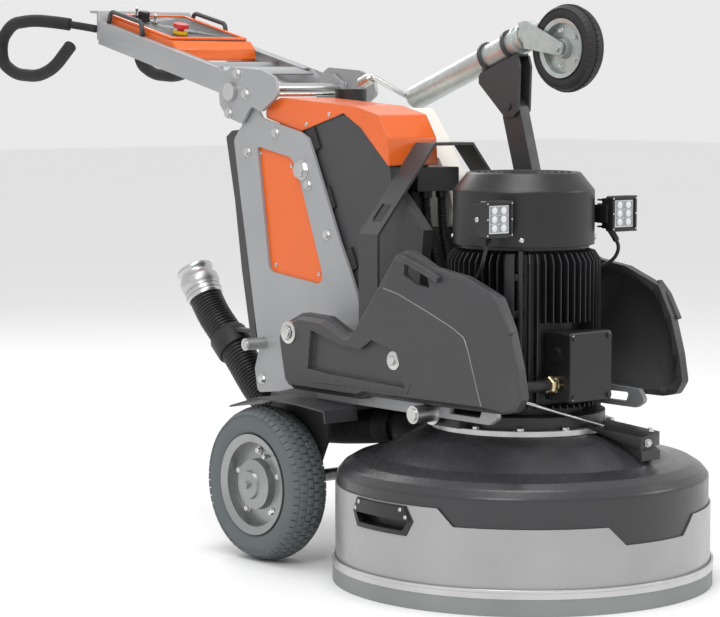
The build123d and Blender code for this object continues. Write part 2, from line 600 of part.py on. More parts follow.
def console():
    body = along_x([(1145, 1166), (1455, 1238), (1455, console_z(1455)), (1165, console_z(1165)),
                    (1145, 1196)], -124, 124, 6)
    deck = along_x([(1176, console_z(1176) + 0.1), (1450, console_z(1450) + 0.1), (1450, console_z(1450) + 4),
                    (1176, console_z(1176) + 4)], -118, 118)
    tops = {}
    normal = Vector(0, -math.sin(math.radians(13.3)), math.cos(math.radians(13.3)))
    for name, y in (("estop", 1237), ("knob", 1401), ("toggle_1", 1352), ("toggle_2", 1437)):
        tops[name] = Vector(-50, y, console_z(y) + 4)
        hole = 9.1 if name == "estop" else 6
        deck -= bar(tops[name] - normal * 10, tops[name] + normal * 10, hole)
    body -= bar(tops["estop"] - normal * 14, tops["estop"], 9.1)
    at = tops["estop"]
    collars = [pipe(at + normal * 0.1, at + normal * 8, 19, 9)]
    button = bar(at + normal * 0.5, at + normal * 15, 8.9) + bar(at + normal * 15, at + normal * 26, 20)
    save("estop_button", button.solid())
    at = tops["knob"]
    knob = bar(at - normal * 3, at + normal * 3, 4) + bar(at + normal * 2, at + normal * 22, 14)
    knob += bar(at + normal * 1, at + normal * 4, 17)
    save("speed_knob", knob.solid())
    for number in (1, 2):
        at = tops[f"toggle_{number}"]
        collars.append(pipe(at + normal * 0.1, at + normal * 6, 8, 5))
        lever = bar(at + normal * 3, at + normal * 22, 2.4)
        save(f"toggle_{number}", lever)
    save("console", body, deck.solid(), *collars)


def grab_guards():
    route = [(134, 1285, arm_z(1285, True) + 0.1), (134, 1290, arm_z(1285, True) + 36),
             (134, 1430, arm_z(1430, True) + 34), (134, 1438, arm_z(1438, True) + 0.1)]
    return both(path_tube(route, [16, 16], 6))


# ---- side weights ----
WEIGHT = [(549, 523), (530, 555), (470, 581), (378, 578), (306, 547), (288, 548), (267, 575), (140, 732),
          (98, 746), (15, 712), (-88, 698), (-192, 660), (-229, 595), (-255, 513), (-267, 451),
          (-246, 421), (-209, 413), (-19, 410), (235, 410), (253, 400), (508, 400), (527, 419), (542, 489)]
WEIGHT_DISH = [(150, 560), (150, 690), (95, 722), (10, 694), (-84, 680), (-176, 645), (-210, 588), (-236, 510),
               (-245, 455), (-230, 438), (-200, 428), (110, 428)]


def weights():
    weight = along_x(WEIGHT, WEIGHT_IN, WEIGHT_OUT, 18)
    edge = weight.faces().sort_by(Axis.X)[-1].edges()
    weight = chamfer(edge, 5)
    weight -= along_x(WEIGHT_DISH, WEIGHT_IN - 1, WEIGHT_OUT - 10, 14)
    weight -= along_x([(104, 692), (100, 717), (24, 690), (18, 668), (60, 672)], WEIGHT_IN - 1, WEIGHT_OUT + 1, 8)
    weight -= pin_x(WEIGHT_PIVOT, WEIGHT_PIN_RADIUS + FIT, 230, 270)
    save("left_weight", weight)
    save("right_weight", across(weight))


# ---- wheels ----
def wheels():
    rim = turned_x([(300, AXLE_RADIUS + FIT), (357, AXLE_RADIUS + FIT), (357, 34), (350, 58), (330, 60),
                    (326, 97), (350, 99), (356, 118), (351, 118), (347, 105), (273, 105), (269, 118),
                    (264, 118), (270, 97), (318, 95), (322, 58), (300, 50)], AXLE)
    cap = turned_x([(357.1, 0), (357.1, 34), (364, 31), (366, 9), (374, 8), (374, 0)], AXLE)
    tyre = turned_x([(276, 105.3), (344, 105.3), (350, 119.5), (360, 145), (354, 170), (338, 179),
                     (310, TYRE_RADIUS + 1), (282, 179), (266, 170), (260, 145), (270, 119.5)], AXLE, 14)
    for side, turn in (("left", lambda shape: shape), ("right", across)):
        save(f"{side}_rim", turn(rim), turn(cap))
        save(f"{side}_tyre", turn(tyre))


# ---- jockey wheel on its mast ----
def jockey():
    rear, front = Vector(JOCKEY_X, *JOCKEY_REAR), Vector(JOCKEY_X, *JOCKEY_FRONT)
    way = (front - rear).normalized()
    mast = along_x([(-22, 386.1), (58, 386.1), (258, 1030), (259, 1058), (240, 1080), (222, 1080),
                    (202, 1058), (140, 850)], 176, 204, 6)
    mast -= along_x([(10, 430), (44, 430), (190, 900), (225, 1010), (215, 1015), (150, 850)], 182, 210)
    mast -= pin_x(JOCKEY_PIVOT, 8, 170, 210)
    pin = pin_x(JOCKEY_PIVOT, 8, 164, 216) + pin_x(JOCKEY_PIVOT, 13, 216, 222)
    save("jockey_mast", mast.solid(), pin)

    cheek = [(205, 1178), (335, 1130.5), (335, 1110), (262, 1046), (246, 1032), (216, 1032), (200, 1046),
             (196, 1150)]
    bracket = along_x(cheek, 169, 175.5, 8) + along_x(cheek, 204.5, 211, 8)
    bracket += along_x([(207, 1180.4), (333, 1134.4), (333, 1128), (207, 1174)], 172, 208)
    bracket -= pin_x(JOCKEY_PIVOT, 8 + FIT, 160, 220)
    bracket -= bar(rear - way * 10, front + way * 10, 30)
    bracket -= bar(front - way * 31, front + way * 20, 34.6)

    outer = pipe(rear, front, 30, 26 + FIT) + bar(rear - way * 5, rear, 30)
    for at in (0, -22):
        outer += pipe(front + way * at, front + way * (at + 8), 34, 26 + FIT)
    save("jockey_outer_tube", outer.solid())
    clamps = []
    for at in (-45, -128):
        centre = front + way * at
        clamps.append(pipe(centre - way * 4, centre + way * 4, 37, 30.1))
    save("jockey_bracket", bracket.solid(), *clamps)
    inner = pipe(front - way * 240, front + way * 14, 26, 21) + bar(front + way * 14, front + way * 22, 30)
    save("jockey_inner_tube", inner.solid())

    crown = front + way * 22.3
    wheel = Vector(JOCKEY_X, *JOCKEY_WHEEL_CENTRE)
    fork = bar(crown, crown + way * 9, 32)
    for side in (-1, 1):
        offset_x = Vector(side * 31, 0, 0)
        start = tuple(crown + way * 4)
        leg = along_x([(start[1] + 16, start[2] - 30), (start[1] + 22, start[2] + 24),
                       (start[1] - 12, start[2] + 30), (wheel.Y - 18, wheel.Z + 10),
                       (wheel.Y - 12, wheel.Z - 16), (wheel.Y + 14, wheel.Z - 14)],
                      *sorted((JOCKEY_X + side * 28, JOCKEY_X + side * 34)), 10)
        leg -= bar(rear, crown, 200)
        leg -= bar(wheel - offset_x * 2, wheel + offset_x * 2, 8)
        fork += leg
    crown_plate = Plane(origin=crown + way * 4, x_dir=(1, 0, 0), z_dir=way) * Box(68, 44, 8)
    fork += crown_plate
    axle = bar(wheel - Vector(40, 0, 0), wheel + Vector(40, 0, 0), 8)
    save("jockey_fork", max(fork.solids(), key=lambda solid: solid.volume), axle)

    rim = turned_x([(-24, 8 + FIT), (24, 8 + FIT), (24, 20), (8, 24), (6, 55), (22, 58), (25, 68),
                    (21, 68), (17, 60), (-17, 60), (-21, 68), (-25, 68), (-22, 58), (-6, 55), (-8, 24),
                    (-24, 20)], (0, 0))
    tyre = turned_x([(-16.5, 60.3), (16.5, 60.3), (20.5, 69), (25, 82), (20, 95), (0, JOCKEY_WHEEL_RADIUS + 1),
                     (-20, 95), (-25, 82), (-20.5, 69)], (0, 0), 12)
    place = Pos(*wheel)
    save("jockey_rim", place * rim)
    save("jockey_tyre", place * tyre)

    hub = rear - way * 5.2
    knee = hub - way * 13 + Vector(-128, 0, 56)
    arm = bar(hub, hub - way * 20, 12) + bar(hub - way * 13, knee, 7) + bar(knee + way * 5, knee - way * 46, 6)
    save("jockey_crank", arm.solid(), pipe(knee - way * 8, knee - way * 44, 14, 6))


skirt()
shroud_band()
band_handles()
head_dome()
gearbox_housing()
planetary_drive()
motor()
terminal_box()
motor_cable()
front_bracket()
lamps()
side_plates()
cabinet()
hood()
water_tank()
front_box()
conduits()
roll_hoop()
fork()
undercarriage()
rear_cover()
dust_hose()
neck()
handle()
foam_grips()
console()
weights()
wheels()
jockey()
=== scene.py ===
import json
import math
import random

import bmesh
import bpy
from mathutils import Matrix, Vector


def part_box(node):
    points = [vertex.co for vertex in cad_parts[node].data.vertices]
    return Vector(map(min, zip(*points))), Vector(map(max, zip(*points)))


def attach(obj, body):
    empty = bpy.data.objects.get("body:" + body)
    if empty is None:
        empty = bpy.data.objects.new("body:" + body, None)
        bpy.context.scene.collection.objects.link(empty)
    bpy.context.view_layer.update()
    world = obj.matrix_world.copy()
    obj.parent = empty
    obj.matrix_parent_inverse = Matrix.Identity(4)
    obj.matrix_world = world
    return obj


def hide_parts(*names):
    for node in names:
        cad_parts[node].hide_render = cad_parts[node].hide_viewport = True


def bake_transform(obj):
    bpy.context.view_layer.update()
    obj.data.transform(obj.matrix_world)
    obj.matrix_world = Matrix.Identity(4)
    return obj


# The looks of a planetary concrete grinder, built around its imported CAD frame, in metres.

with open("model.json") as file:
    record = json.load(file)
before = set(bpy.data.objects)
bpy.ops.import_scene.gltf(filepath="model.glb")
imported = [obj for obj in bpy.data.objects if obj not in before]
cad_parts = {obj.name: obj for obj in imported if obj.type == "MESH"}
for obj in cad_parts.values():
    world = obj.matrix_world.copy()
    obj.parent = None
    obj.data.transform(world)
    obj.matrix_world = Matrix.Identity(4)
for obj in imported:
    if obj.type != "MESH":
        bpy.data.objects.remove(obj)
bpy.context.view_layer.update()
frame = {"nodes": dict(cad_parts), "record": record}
random.seed(7)

CAMERA_PLACE = (-3.8155, -4.7171, 1.1161)
CAMERA_TURN, CAMERA_DIP = 39.773, 5.245
CAMERA_LENS = 124.0
SENSOR_WIDTH = 36.0
MM = 1000
HEAD_Y_MM = -703.8
HEAD_Y = HEAD_Y_MM / MM
SHARP_ANGLE = 35
WASHER_THICKNESS = 0.0016
FLAT_TO_CORNER = 0.577
WELD_DISTANCE = 2e-6


# ---------------------------------------------------------------- helpers
def middle(node):
    low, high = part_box(node)
    return (low + high) / 2


def link(name, mesh, material, smooth=True):
    piece = bpy.data.objects.new(name, mesh)
    bpy.context.scene.collection.objects.link(piece)
    mesh.materials.clear()
    mesh.materials.append(material)
    if smooth:
        mesh.shade_smooth()
        mesh.set_sharp_from_angle(angle=math.radians(SHARP_ANGLE))
    return piece


def add_piece(name, mesh, material, body, replaced=(), smooth=True):
    piece = link(name, mesh, material, smooth)
    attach(piece, body)
    if replaced:
        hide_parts(*replaced)
    return piece


def mesh_from(bm, name):
    bmesh.ops.recalc_face_normals(bm, faces=bm.faces)
    mesh = bpy.data.meshes.new(name)
    bm.to_mesh(mesh)
    bm.free()
    return mesh


def facing(place, normal, turn=0.0):
    """Matrix that puts local +Z along normal at place."""
    normal = Vector(normal).normalized()
    spin = Matrix.Rotation(turn, 4, "Z")
    along = normal.to_track_quat("Z", "Y").to_matrix().to_4x4()
    return Matrix.Translation(Vector(place)) @ along @ spin


def lathe(bm, profile, matrix, segments=48, closed=False):
    """Turned shape from (radius, height) points about the matrix's Z axis."""
    rings = []
    for radius, height in profile:
        ring = []
        if radius < 1e-6:
            ring = [bm.verts.new(matrix @ Vector((0, 0, height)))] * segments
        else:
            for i in range(segments):
                angle = 2 * math.pi * i / segments
                point = Vector((radius * math.cos(angle), radius * math.sin(angle), height))
                ring.append(bm.verts.new(matrix @ point))
        rings.append(ring)
    pairs = list(zip(rings, rings[1:]))
    if closed:
        pairs.append((rings[-1], rings[0]))
    for lower, upper in pairs:
        for i in range(segments):
            corners = [lower[i], lower[(i + 1) % segments], upper[(i + 1) % segments], upper[i]]
            corners = list(dict.fromkeys(corners))
            if len(corners) > 2:
                bm.faces.new(corners)


def slab(bm, size, matrix, bevel=0.0):
    """Box of the given size with bevelled edges."""
    made = bmesh.ops.create_cube(bm, size=1.0, matrix=matrix @ Matrix.Diagonal((*size, 1.0)))
    if bevel:
        edges = list({edge for vert in made["verts"] for edge in vert.link_edges})
        bmesh.ops.bevel(bm, geom=edges, offset=bevel, segments=2, affect="EDGES", profile=0.6)


def screw(bm, place, normal, radius, height=None):
    """Button-head screw with a hexagon socket."""
    height = height or radius * 0.55
    matrix = facing(place, normal)
    profile = [(radius, 0), (radius, height * 0.35), (radius * 0.88, height * 0.75), (radius * 0.6, height),
               (radius * 0.42, height), (radius * 0.4, height * 0.35), (0, height * 0.3)]
    lathe(bm, profile, matrix, 18)


def hex_bolt(bm, place, normal, width, height, washer=True):
    """Hexagon head of the given width over the flats, turned at random, with or without a washer."""
    matrix = facing(place, normal, random.uniform(0, 1))
    base = 0.0
    if washer:
        base = WASHER_THICKNESS
        lathe(bm, [(width * 0.75, 0), (width * 0.75, base), (0, base)], matrix, 28)
    corner = width * FLAT_TO_CORNER
    lathe(bm, [(corner, base), (corner, base + height * 0.85), (width * 0.5, base + height),
               (0, base + height)], matrix, 6)


def smooth_path(points, step=0.004):
    """Evenly spaced points along the smooth curve that the route's points control."""
    curve = bpy.data.curves.new("route", "CURVE")
    curve.dimensions = "3D"
    spline = curve.splines.new("NURBS")
    spline.points.add(len(points) - 1)
    for control, point in zip(spline.points, points):
        control.co = (*point, 1.0)
    spline.order_u = 3
    spline.use_endpoint_u = True
    spline.resolution_u = 24
    carrier = bpy.data.objects.new("route", curve)
    mesh = bpy.data.meshes.new_from_object(carrier)
    line = [v.co.copy() for v in mesh.vertices]
    bpy.data.objects.remove(carrier)
    bpy.data.curves.remove(curve)
    bpy.data.meshes.remove(mesh)
    spaced, carried = [line[0]], 0.0
    for start, end in zip(line, line[1:]):
        run = (end - start).length
        while carried + run >= step:
            share = (step - carried) / run
            start = start.lerp(end, share)
            spaced.append(start.copy())
            run, carried = (end - start).length, 0.0
        carried += run
    return spaced


def tube(bm, line, radius_at, segments=24, capped=True):
    """Tube round a line, with a radius that may change along it."""
    side = None
    rings = []
    for i, point in enumerate(line):
        ahead = (line[min(i + 1, len(line) - 1)] - line[max(i - 1, 0)]).normalized()
        if side is None:
            side = ahead.orthogonal().normalized()
        side = (side - ahead * side.dot(ahead)).normalized()
        up = ahead.cross(side)
        radius = radius_at(i)
        ring = []
        for k in range(segments):
            angle = 2 * math.pi * k / segments
            ring.append(bm.verts.new(point + (side * math.cos(angle) + up * math.sin(angle)) * radius))
        rings.append(ring)
    for lower, upper in zip(rings, rings[1:]):
        for k in range(segments):
            bm.faces.new([lower[k], lower[(k + 1) % segments], upper[(k + 1) % segments], upper[k]])
    if capped:
        bm.faces.new(list(reversed(rings[0])))
        bm.faces.new(rings[-1])


def welded_copy(node):
    """The node's own mesh with its coincident points joined."""
    bm = bmesh.new()
    bm.from_mesh(frame["nodes"][node].data)
    bmesh.ops.remove_doubles(bm, verts=bm.verts, dist=WELD_DISTANCE)
    return bm


def islands(bm):
    """Groups of faces that belong to one solid."""
    left, groups = set(bm.faces), []
    while left:
        seed = left.pop()
        group, waiting = {seed}, [seed]
        while waiting:
            face = waiting.pop()
            for edge in face.edges:
                for other in edge.link_faces:
                    if other in left:
                        left.discard(other)
                        group.add(other)
                        waiting.append(other)
        groups.append(group)
    return groups


def split(node, body, rules):
    """Replaces a node by one piece for each rule: (name, test(size), material, slot)."""
    for name, test, material, slot in rules:
        bm = welded_copy(node)
        unwanted = []
        for group in islands(bm):
            points = [v.co for face in group for v in face.verts]
            low = Vector([min(p[i] for p in points) for i in range(3)])
            high = Vector([max(p[i] for p in points) for i in range(3)])
            if not test(high - low):
                unwanted += list(group)
        bmesh.ops.delete(bm, geom=unwanted, context="FACES")
        add_piece(name, mesh_from(bm, name), material, body)
    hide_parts(node)


# ---------------------------------------------------------------- materials
MIX_FIRST, MIX_SECOND, MIX_COLOUR = 6, 7, 2  # colour sockets of the Mix node


def surface(name, base, rough, metallic=0.0, grain=500.0, depth=0.0003, mottle=0.12, spread=0.12,
            edge_wear_and_highlight=None, edge=0.0012, coat=0.0, specks=None):
    """Paint, plastic, metal or rubber with grain, tone and roughness variation, and a lighter colour on edges
    that is partly wear and partly painted highlight.
    """
    material = bpy.data.materials.new(name)
    material.use_nodes = True
    tree = material.node_tree
    nodes, links = tree.nodes, tree.links
    shader = nodes["Principled BSDF"]
    shader.inputs["Metallic"].default_value = metallic
    shader.inputs["Coat Weight"].default_value = coat
    shader.inputs["Coat Roughness"].default_value = 0.12
    place = nodes.new("ShaderNodeTexCoord").outputs["Object"]

    def noise(scale, detail):
        texture = nodes.new("ShaderNodeTexNoise")
        texture.inputs["Scale"].default_value = scale
        texture.inputs["Detail"].default_value = detail
        links.new(place, texture.inputs["Vector"])
        return texture.outputs["Fac"]

    def ranged(value, low, high, start=0.3, stop=0.7):
        fit = nodes.new("ShaderNodeMapRange")
        fit.inputs["From Min"].default_value = start
        fit.inputs["From Max"].default_value = stop
        fit.inputs["To Min"].default_value = low
        fit.inputs["To Max"].default_value = high
        links.new(value, fit.inputs["Value"])
        return fit.outputs["Result"]

    def mixed(factor, first, second):
        mix = nodes.new("ShaderNodeMix")
        mix.data_type = "RGBA"
        links.new(factor, mix.inputs["Factor"])
        for socket, value in ((mix.inputs[MIX_FIRST], first), (mix.inputs[MIX_SECOND], second)):
            if isinstance(value, tuple):
                socket.default_value = (*value, 1.0)
            else:
                links.new(value, socket)
        return mix.outputs[MIX_COLOUR]

    shade = tuple(max(0.0, c * (1 - mottle)) for c in base)
    light = tuple(min(1.0, c * (1 + mottle)) for c in base)
    colour = mixed(ranged(noise(5.0, 5.0), 0, 1), shade, light)
    if specks:
        cell_scale, speck_colour = specks
        cells = nodes.new("ShaderNodeTexVoronoi")
        cells.inputs["Scale"].default_value = cell_scale
        links.new(place, cells.inputs["Vector"])
        channels = nodes.new("ShaderNodeSeparateColor")
        links.new(cells.outputs["Color"], channels.inputs["Color"])
        colour = mixed(ranged(channels.outputs["Red"], 0, 0.55, 0.2, 0.9), colour, speck_colour)

    bump = nodes.new("ShaderNodeBump")
    bump.inputs["Strength"].default_value = 0.5
    bump.inputs["Distance"].default_value = depth
    links.new(noise(grain, 3.0), bump.inputs["Height"])
    # Lighter colour along edges, in patches: partly edge wear, partly a painted highlight on the edges.
    if edge_wear_and_highlight:
        bevel = nodes.new("ShaderNodeBevel")
        bevel.samples = 4
        bevel.inputs["Radius"].default_value = edge
        geometry = nodes.new("ShaderNodeNewGeometry")
        dot = nodes.new("ShaderNodeVectorMath")
        dot.operation = "DOT_PRODUCT"
        links.new(bevel.outputs["Normal"], dot.inputs[0])
        links.new(geometry.outputs["Normal"], dot.inputs[1])
        on_edge = ranged(dot.outputs["Value"], 1, 0, 0.75, 0.995)
        patchy = ranged(noise(60.0, 5.0), 0, 1, 0.42, 0.6)
        both = nodes.new("ShaderNodeMath")
        both.operation = "MULTIPLY"
        links.new(on_edge, both.inputs[0])
        links.new(patchy, both.inputs[1])
        colour = mixed(both.outputs[0], colour, edge_wear_and_highlight)
        links.new(bevel.outputs["Normal"], bump.inputs["Normal"])
    rougher = ranged(noise(22.0, 6.0), rough - spread / 2, rough + spread / 2)
    links.new(bump.outputs["Normal"], shader.inputs["Normal"])
    links.new(colour, shader.inputs["Base Color"])
    links.new(rougher, shader.inputs["Roughness"])
    return material


def glow(name, base, strength):
    material = bpy.data.materials.new(name)
    material.use_nodes = True
    shader = material.node_tree.nodes["Principled BSDF"]
    shader.inputs["Base Color"].default_value = (*base, 1.0)
    shader.inputs["Roughness"].default_value = 0.25
    shader.inputs["Emission Color"].default_value = (*base, 1.0)
    shader.inputs["Emission Strength"].default_value = strength
    return material


silver = surface("silver_paint", (0.36, 0.365, 0.375), rough=0.42, metallic=0.25, grain=900, depth=0.00012,
                 mottle=0.05, spread=0.1, edge_wear_and_highlight=(0.55, 0.55, 0.55))
band_metal = surface("band_metal", (0.37, 0.37, 0.375), rough=0.34, metallic=0.5, grain=240, depth=0.00008,
                     mottle=0.06, spread=0.12, edge_wear_and_highlight=(0.6, 0.6, 0.6))
dark_paint = surface("dark_paint", (0.036, 0.036, 0.039), rough=0.4, metallic=0.0, grain=1400,
                     depth=0.00022, mottle=0.12, spread=0.12, edge_wear_and_highlight=(0.14, 0.14, 0.14))
weight_paint = surface("weight_paint", (0.044, 0.044, 0.047), rough=0.42, metallic=0.0, grain=620,
                       depth=0.0006, mottle=0.1, spread=0.1, edge_wear_and_highlight=(0.2, 0.2, 0.2), edge=0.002)
dark_plastic = surface("dark_plastic", (0.048, 0.048, 0.051), rough=0.48, metallic=0.0, grain=1500,
                       depth=0.0002, mottle=0.06, spread=0.08, edge_wear_and_highlight=(0.11, 0.11, 0.11))
black_plastic = surface("black_plastic", (0.014, 0.014, 0.015), rough=0.4, metallic=0.0, grain=1300,
                        depth=0.0002, mottle=0.15, spread=0.12, edge_wear_and_highlight=(0.04, 0.04, 0.04))
orange = surface("orange_plastic", (0.8, 0.135, 0.012), rough=0.33, metallic=0.0, grain=1200, depth=0.00008,
                 mottle=0.04, spread=0.08, edge_wear_and_highlight=(0.9, 0.22, 0.05), coat=0.3)
tank_plastic = surface("tank_plastic", (0.78, 0.76, 0.7), rough=0.45, metallic=0.0, grain=900, depth=0.0002,
                       mottle=0.03, spread=0.1, edge_wear_and_highlight=(0.85, 0.84, 0.8))
black_iron = surface("black_iron", (0.013, 0.013, 0.015), rough=0.38, metallic=0.0, grain=520, depth=0.0004,
                     mottle=0.2, spread=0.14, edge_wear_and_highlight=(0.05, 0.05, 0.05))
zinc = surface("zinc_steel", (0.6, 0.6, 0.59), rough=0.3, metallic=1.0, grain=800, depth=0.0001, mottle=0.1,
               spread=0.16, edge_wear_and_highlight=(0.75, 0.75, 0.74), edge=0.0006)
chrome = surface("bright_steel", (0.7, 0.7, 0.7), rough=0.16, metallic=1.0, grain=800, depth=0.00005,
                 mottle=0.06, spread=0.08, edge_wear_and_highlight=(0.8, 0.8, 0.8), edge=0.0005)
galvanised = surface("galvanised", (0.5, 0.53, 0.515), rough=0.4, metallic=0.75, grain=900, depth=0.0001,
                     mottle=0.1, spread=0.16, edge_wear_and_highlight=(0.68, 0.68, 0.68), specks=(130.0, (0.4, 0.44, 0.43)))
brass = surface("brass", (0.62, 0.5, 0.3), rough=0.28, metallic=1.0, grain=900, depth=0.0001, mottle=0.1,
                spread=0.12, edge_wear_and_highlight=(0.8, 0.7, 0.5), edge=0.0006)
grey_rubber = surface("grey_rubber", (0.235, 0.25, 0.245), rough=0.62, metallic=0.0, grain=700,
                      depth=0.0003, mottle=0.1, spread=0.1, edge_wear_and_highlight=(0.3, 0.31, 0.3))
black_rubber = surface("black_rubber", (0.013, 0.013, 0.013), rough=0.5, metallic=0.0, grain=900,
                       depth=0.0003, mottle=0.25, spread=0.12, edge_wear_and_highlight=(0.03, 0.03, 0.03))
foam = surface("grip_foam", (0.012, 0.012, 0.012), rough=0.75, metallic=0.0, grain=1600, depth=0.0008,
               mottle=0.25, spread=0.1)
grey_tyre = surface("grey_tyre", (0.105, 0.122, 0.124), rough=0.68, metallic=0.0, grain=500, depth=0.0005,
                    mottle=0.14, spread=0.1, edge_wear_and_highlight=(0.24, 0.26, 0.26), edge=0.0012)
black_tyre = surface("black_tyre", (0.013, 0.013, 0.013), rough=0.6, metallic=0.0, grain=500, depth=0.0004,
                     mottle=0.2, spread=0.1, edge_wear_and_highlight=(0.035, 0.035, 0.035))
cast_alu = surface("cast_aluminium", (0.56, 0.56, 0.56), rough=0.34, metallic=0.9, grain=600, depth=0.0002,
                   mottle=0.1, spread=0.16, edge_wear_and_highlight=(0.7, 0.7, 0.7), edge=0.001)
red = surface("red_plastic", (0.62, 0.012, 0.01), rough=0.25, metallic=0.0, grain=800, depth=0.0001,
              mottle=0.05, spread=0.06, edge_wear_and_highlight=(0.7, 0.05, 0.04), coat=0.4)
yellow = surface("yellow_plastic", (0.85, 0.5, 0.01), rough=0.35, metallic=0.0, grain=800, depth=0.0001,
                 mottle=0.05, spread=0.06, edge_wear_and_highlight=(0.9, 0.6, 0.1))
rim_grey = surface("rim_metal", (0.33, 0.34, 0.34), rough=0.36, metallic=0.8, grain=700, depth=0.0002,
                   mottle=0.12, spread=0.16, edge_wear_and_highlight=(0.55, 0.55, 0.55), edge=0.001)
led_white = glow("led_white", (0.62, 0.64, 0.68), 0.12)
motor_black = surface("motor_black", (0.012, 0.012, 0.0135), rough=0.36, metallic=0.0, grain=900,
                      depth=0.0002, mottle=0.12, spread=0.1, edge_wear_and_highlight=(0.05, 0.05, 0.05))
hood_orange = surface("hood_orange", (0.76, 0.125, 0.012), rough=0.3, metallic=0.0, grain=1100,
                      depth=0.00006, mottle=0.04, spread=0.08, edge_wear_and_highlight=(0.85, 0.2, 0.04), edge=0.007, coat=0.3)
# Light grey strip that paints a highlight line along the weight's ridge.
painted_highlight_ridge = surface("painted_highlight_ridge", (0.2, 0.2, 0.2), rough=0.35, metallic=0.3, grain=900, depth=0.0003,
                     mottle=0.3, spread=0.2)
dome_paint = surface("dome_paint", (0.034, 0.034, 0.037), rough=0.27, metallic=0.0, grain=1300,
                     depth=0.00012, mottle=0.08, spread=0.08, edge_wear_and_highlight=(0.1, 0.1, 0.1), edge=0.003)
NODE_MATERIAL = {"head_dome": dome_paint, "foam_grips": foam, "fan_cover": motor_black,
                 "terminal_box": motor_black, "hood": hood_orange,
                 "right_rim": rim_grey, "left_rim": rim_grey}

SLOT_MATERIAL = {"silver_paint": silver, "band_metal": band_metal, "dark_paint": dark_paint,
                 "weight_paint": weight_paint, "dark_plastic": dark_plastic, "black_plastic": black_plastic,
                 "orange_plastic": orange, "white_plastic": tank_plastic, "black_iron": black_iron,
                 "zinc_steel": zinc, "galvanised": galvanised, "grey_rubber": grey_rubber,
                 "black_rubber": black_rubber, "grey_tyre": grey_tyre, "black_tyre": black_tyre,
                 "cast_aluminium": cast_alu, "red_plastic": red}


def dress_frame():
    """Every CAD node gets its own material, or the material of its slot."""
    for part in frame["record"]["subparts"]:
        material = NODE_MATERIAL.get(part["node"], SLOT_MATERIAL[part["material_slot"]])
        for slot in frame["nodes"][part["node"]].material_slots:
            slot.material = material


# ---------------------------------------------------------------- stage
FLOOR_SIZE = 30
FLOOR_COLOUR = (0.9, 0.9, 0.9, 1)
SKY_STRENGTH = 0.82
LIGHT_AIM = Vector((0, 0, 0.6))
# name: (place, side of the square lamp, power)
LIGHTS = {"key": ((-3.2, -2.6, 4.2), 1.6, 70), "side": ((3.4, -3.2, 2.6), 1.4, 28),
          "rear": ((1.0, 3.6, 3.6), 2.2, 55), "top": ((-0.3, -0.9, 4.2), 1.8, 55)}


def stage():
    camera_data = bpy.data.cameras.new("camera")
    camera_data.lens = CAMERA_LENS
    camera_data.sensor_width = SENSOR_WIDTH
    camera = bpy.data.objects.new("camera", camera_data)
    camera.location = CAMERA_PLACE
    camera.rotation_euler = (math.radians(90 - CAMERA_DIP), 0, -math.radians(CAMERA_TURN))
    bpy.context.scene.collection.objects.link(camera)
    bpy.context.scene.camera = camera

    bm = bmesh.new()
    bmesh.ops.create_grid(bm, x_segments=2, y_segments=2, size=FLOOR_SIZE)
    pale = bpy.data.materials.new("pale_floor")
    pale.use_nodes = True
    shader = pale.node_tree.nodes["Principled BSDF"]
    shader.inputs["Base Color"].default_value = FLOOR_COLOUR
    shader.inputs["Roughness"].default_value = 0.6
    link("floor", mesh_from(bm, "floor"), pale, smooth=False)

    world = bpy.data.worlds.new("studio")
    world.use_nodes = True
    sky = world.node_tree.nodes["Background"]
    sky.inputs["Color"].default_value = (1.0, 1.0, 1.0, 1)
    sky.inputs["Strength"].default_value = SKY_STRENGTH
    bpy.context.scene.world = world
    bpy.context.scene.view_settings.view_transform = "Standard"
    for name, (place, size, power) in LIGHTS.items():
        data = bpy.data.lights.new(name, "AREA")
        data.shape = "SQUARE"
        data.size = size
        data.energy = power
        lamp = bpy.data.objects.new(name, data)
        lamp.location = place
        lamp.rotation_euler = (LIGHT_AIM - Vector(place)).to_track_quat("-Z", "Y").to_euler()
        bpy.context.scene.collection.objects.link(lamp)


# ---------------------------------------------------------------- wheels
RIM_RECESS = 0.0445
RIM_BOLT_CIRCLE, VALVE_CIRCLE = 0.078, 0.088
JOCKEY_BOLT_X, JOCKEY_BOLT_CIRCLE = 0.0073, 0.042
RIM_BOLTS = 5


def tyre_mesh(node, lug, rows, columns, depth, bead_share, name):
    """Tyre with a rounded carcass and staggered tread lugs, about the node's own X axis."""
    low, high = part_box(node)
    centre = (low + high) / 2
    radius, half = (high.z - low.z) / 2, (high.x - low.x) / 2
    matrix = Matrix.Translation(centre) @ Matrix.Rotation(math.radians(90), 4, "Y")
    outer = radius - depth
    bead = bead_share * radius
    profile = []
    for angle in range(-90, 259, 12):
        across, lift = math.cos(math.radians(angle)), math.sin(math.radians(angle))
        squash = 0.86 if lift > 0 else 1.0
        width = half * math.copysign(abs(across) ** 0.75, across)
        height = (outer + bead) / 2 + (outer - bead) / 2 * math.copysign(abs(lift) ** squash, lift)
        profile.append((height, width))
    bm = bmesh.new()
    lathe(bm, profile, matrix, 72, closed=True)
    for row in range(rows):
        share = (row - (rows - 1) / 2) / ((rows - 1) / 2)
        reach = half * 0.82 * share
        tilt = math.radians(34) * share * abs(share)
        drop = (radius - bead) * 0.17 * share * share
        raised = Matrix.Translation((reach, 0, radius - depth * 0.62 - drop))
        for column in range(columns):
            angle = 2 * math.pi * (column + 0.5 * (row % 2)) / columns
            spot = Matrix.Translation(centre) @ Matrix.Rotation(angle, 4, "X") @ raised
            slab(bm, (lug[0], lug[1], depth * 1.2), spot @ Matrix.Rotation(tilt, 4, "Y"), 0.0008)
    return mesh_from(bm, name)


def on_wheel(centre, x, circle, angle):
    """Point on a circle about the wheel's axis, in the plane at x."""
    return Vector((x, centre.y + circle * math.cos(angle), centre.z + circle * math.sin(angle)))


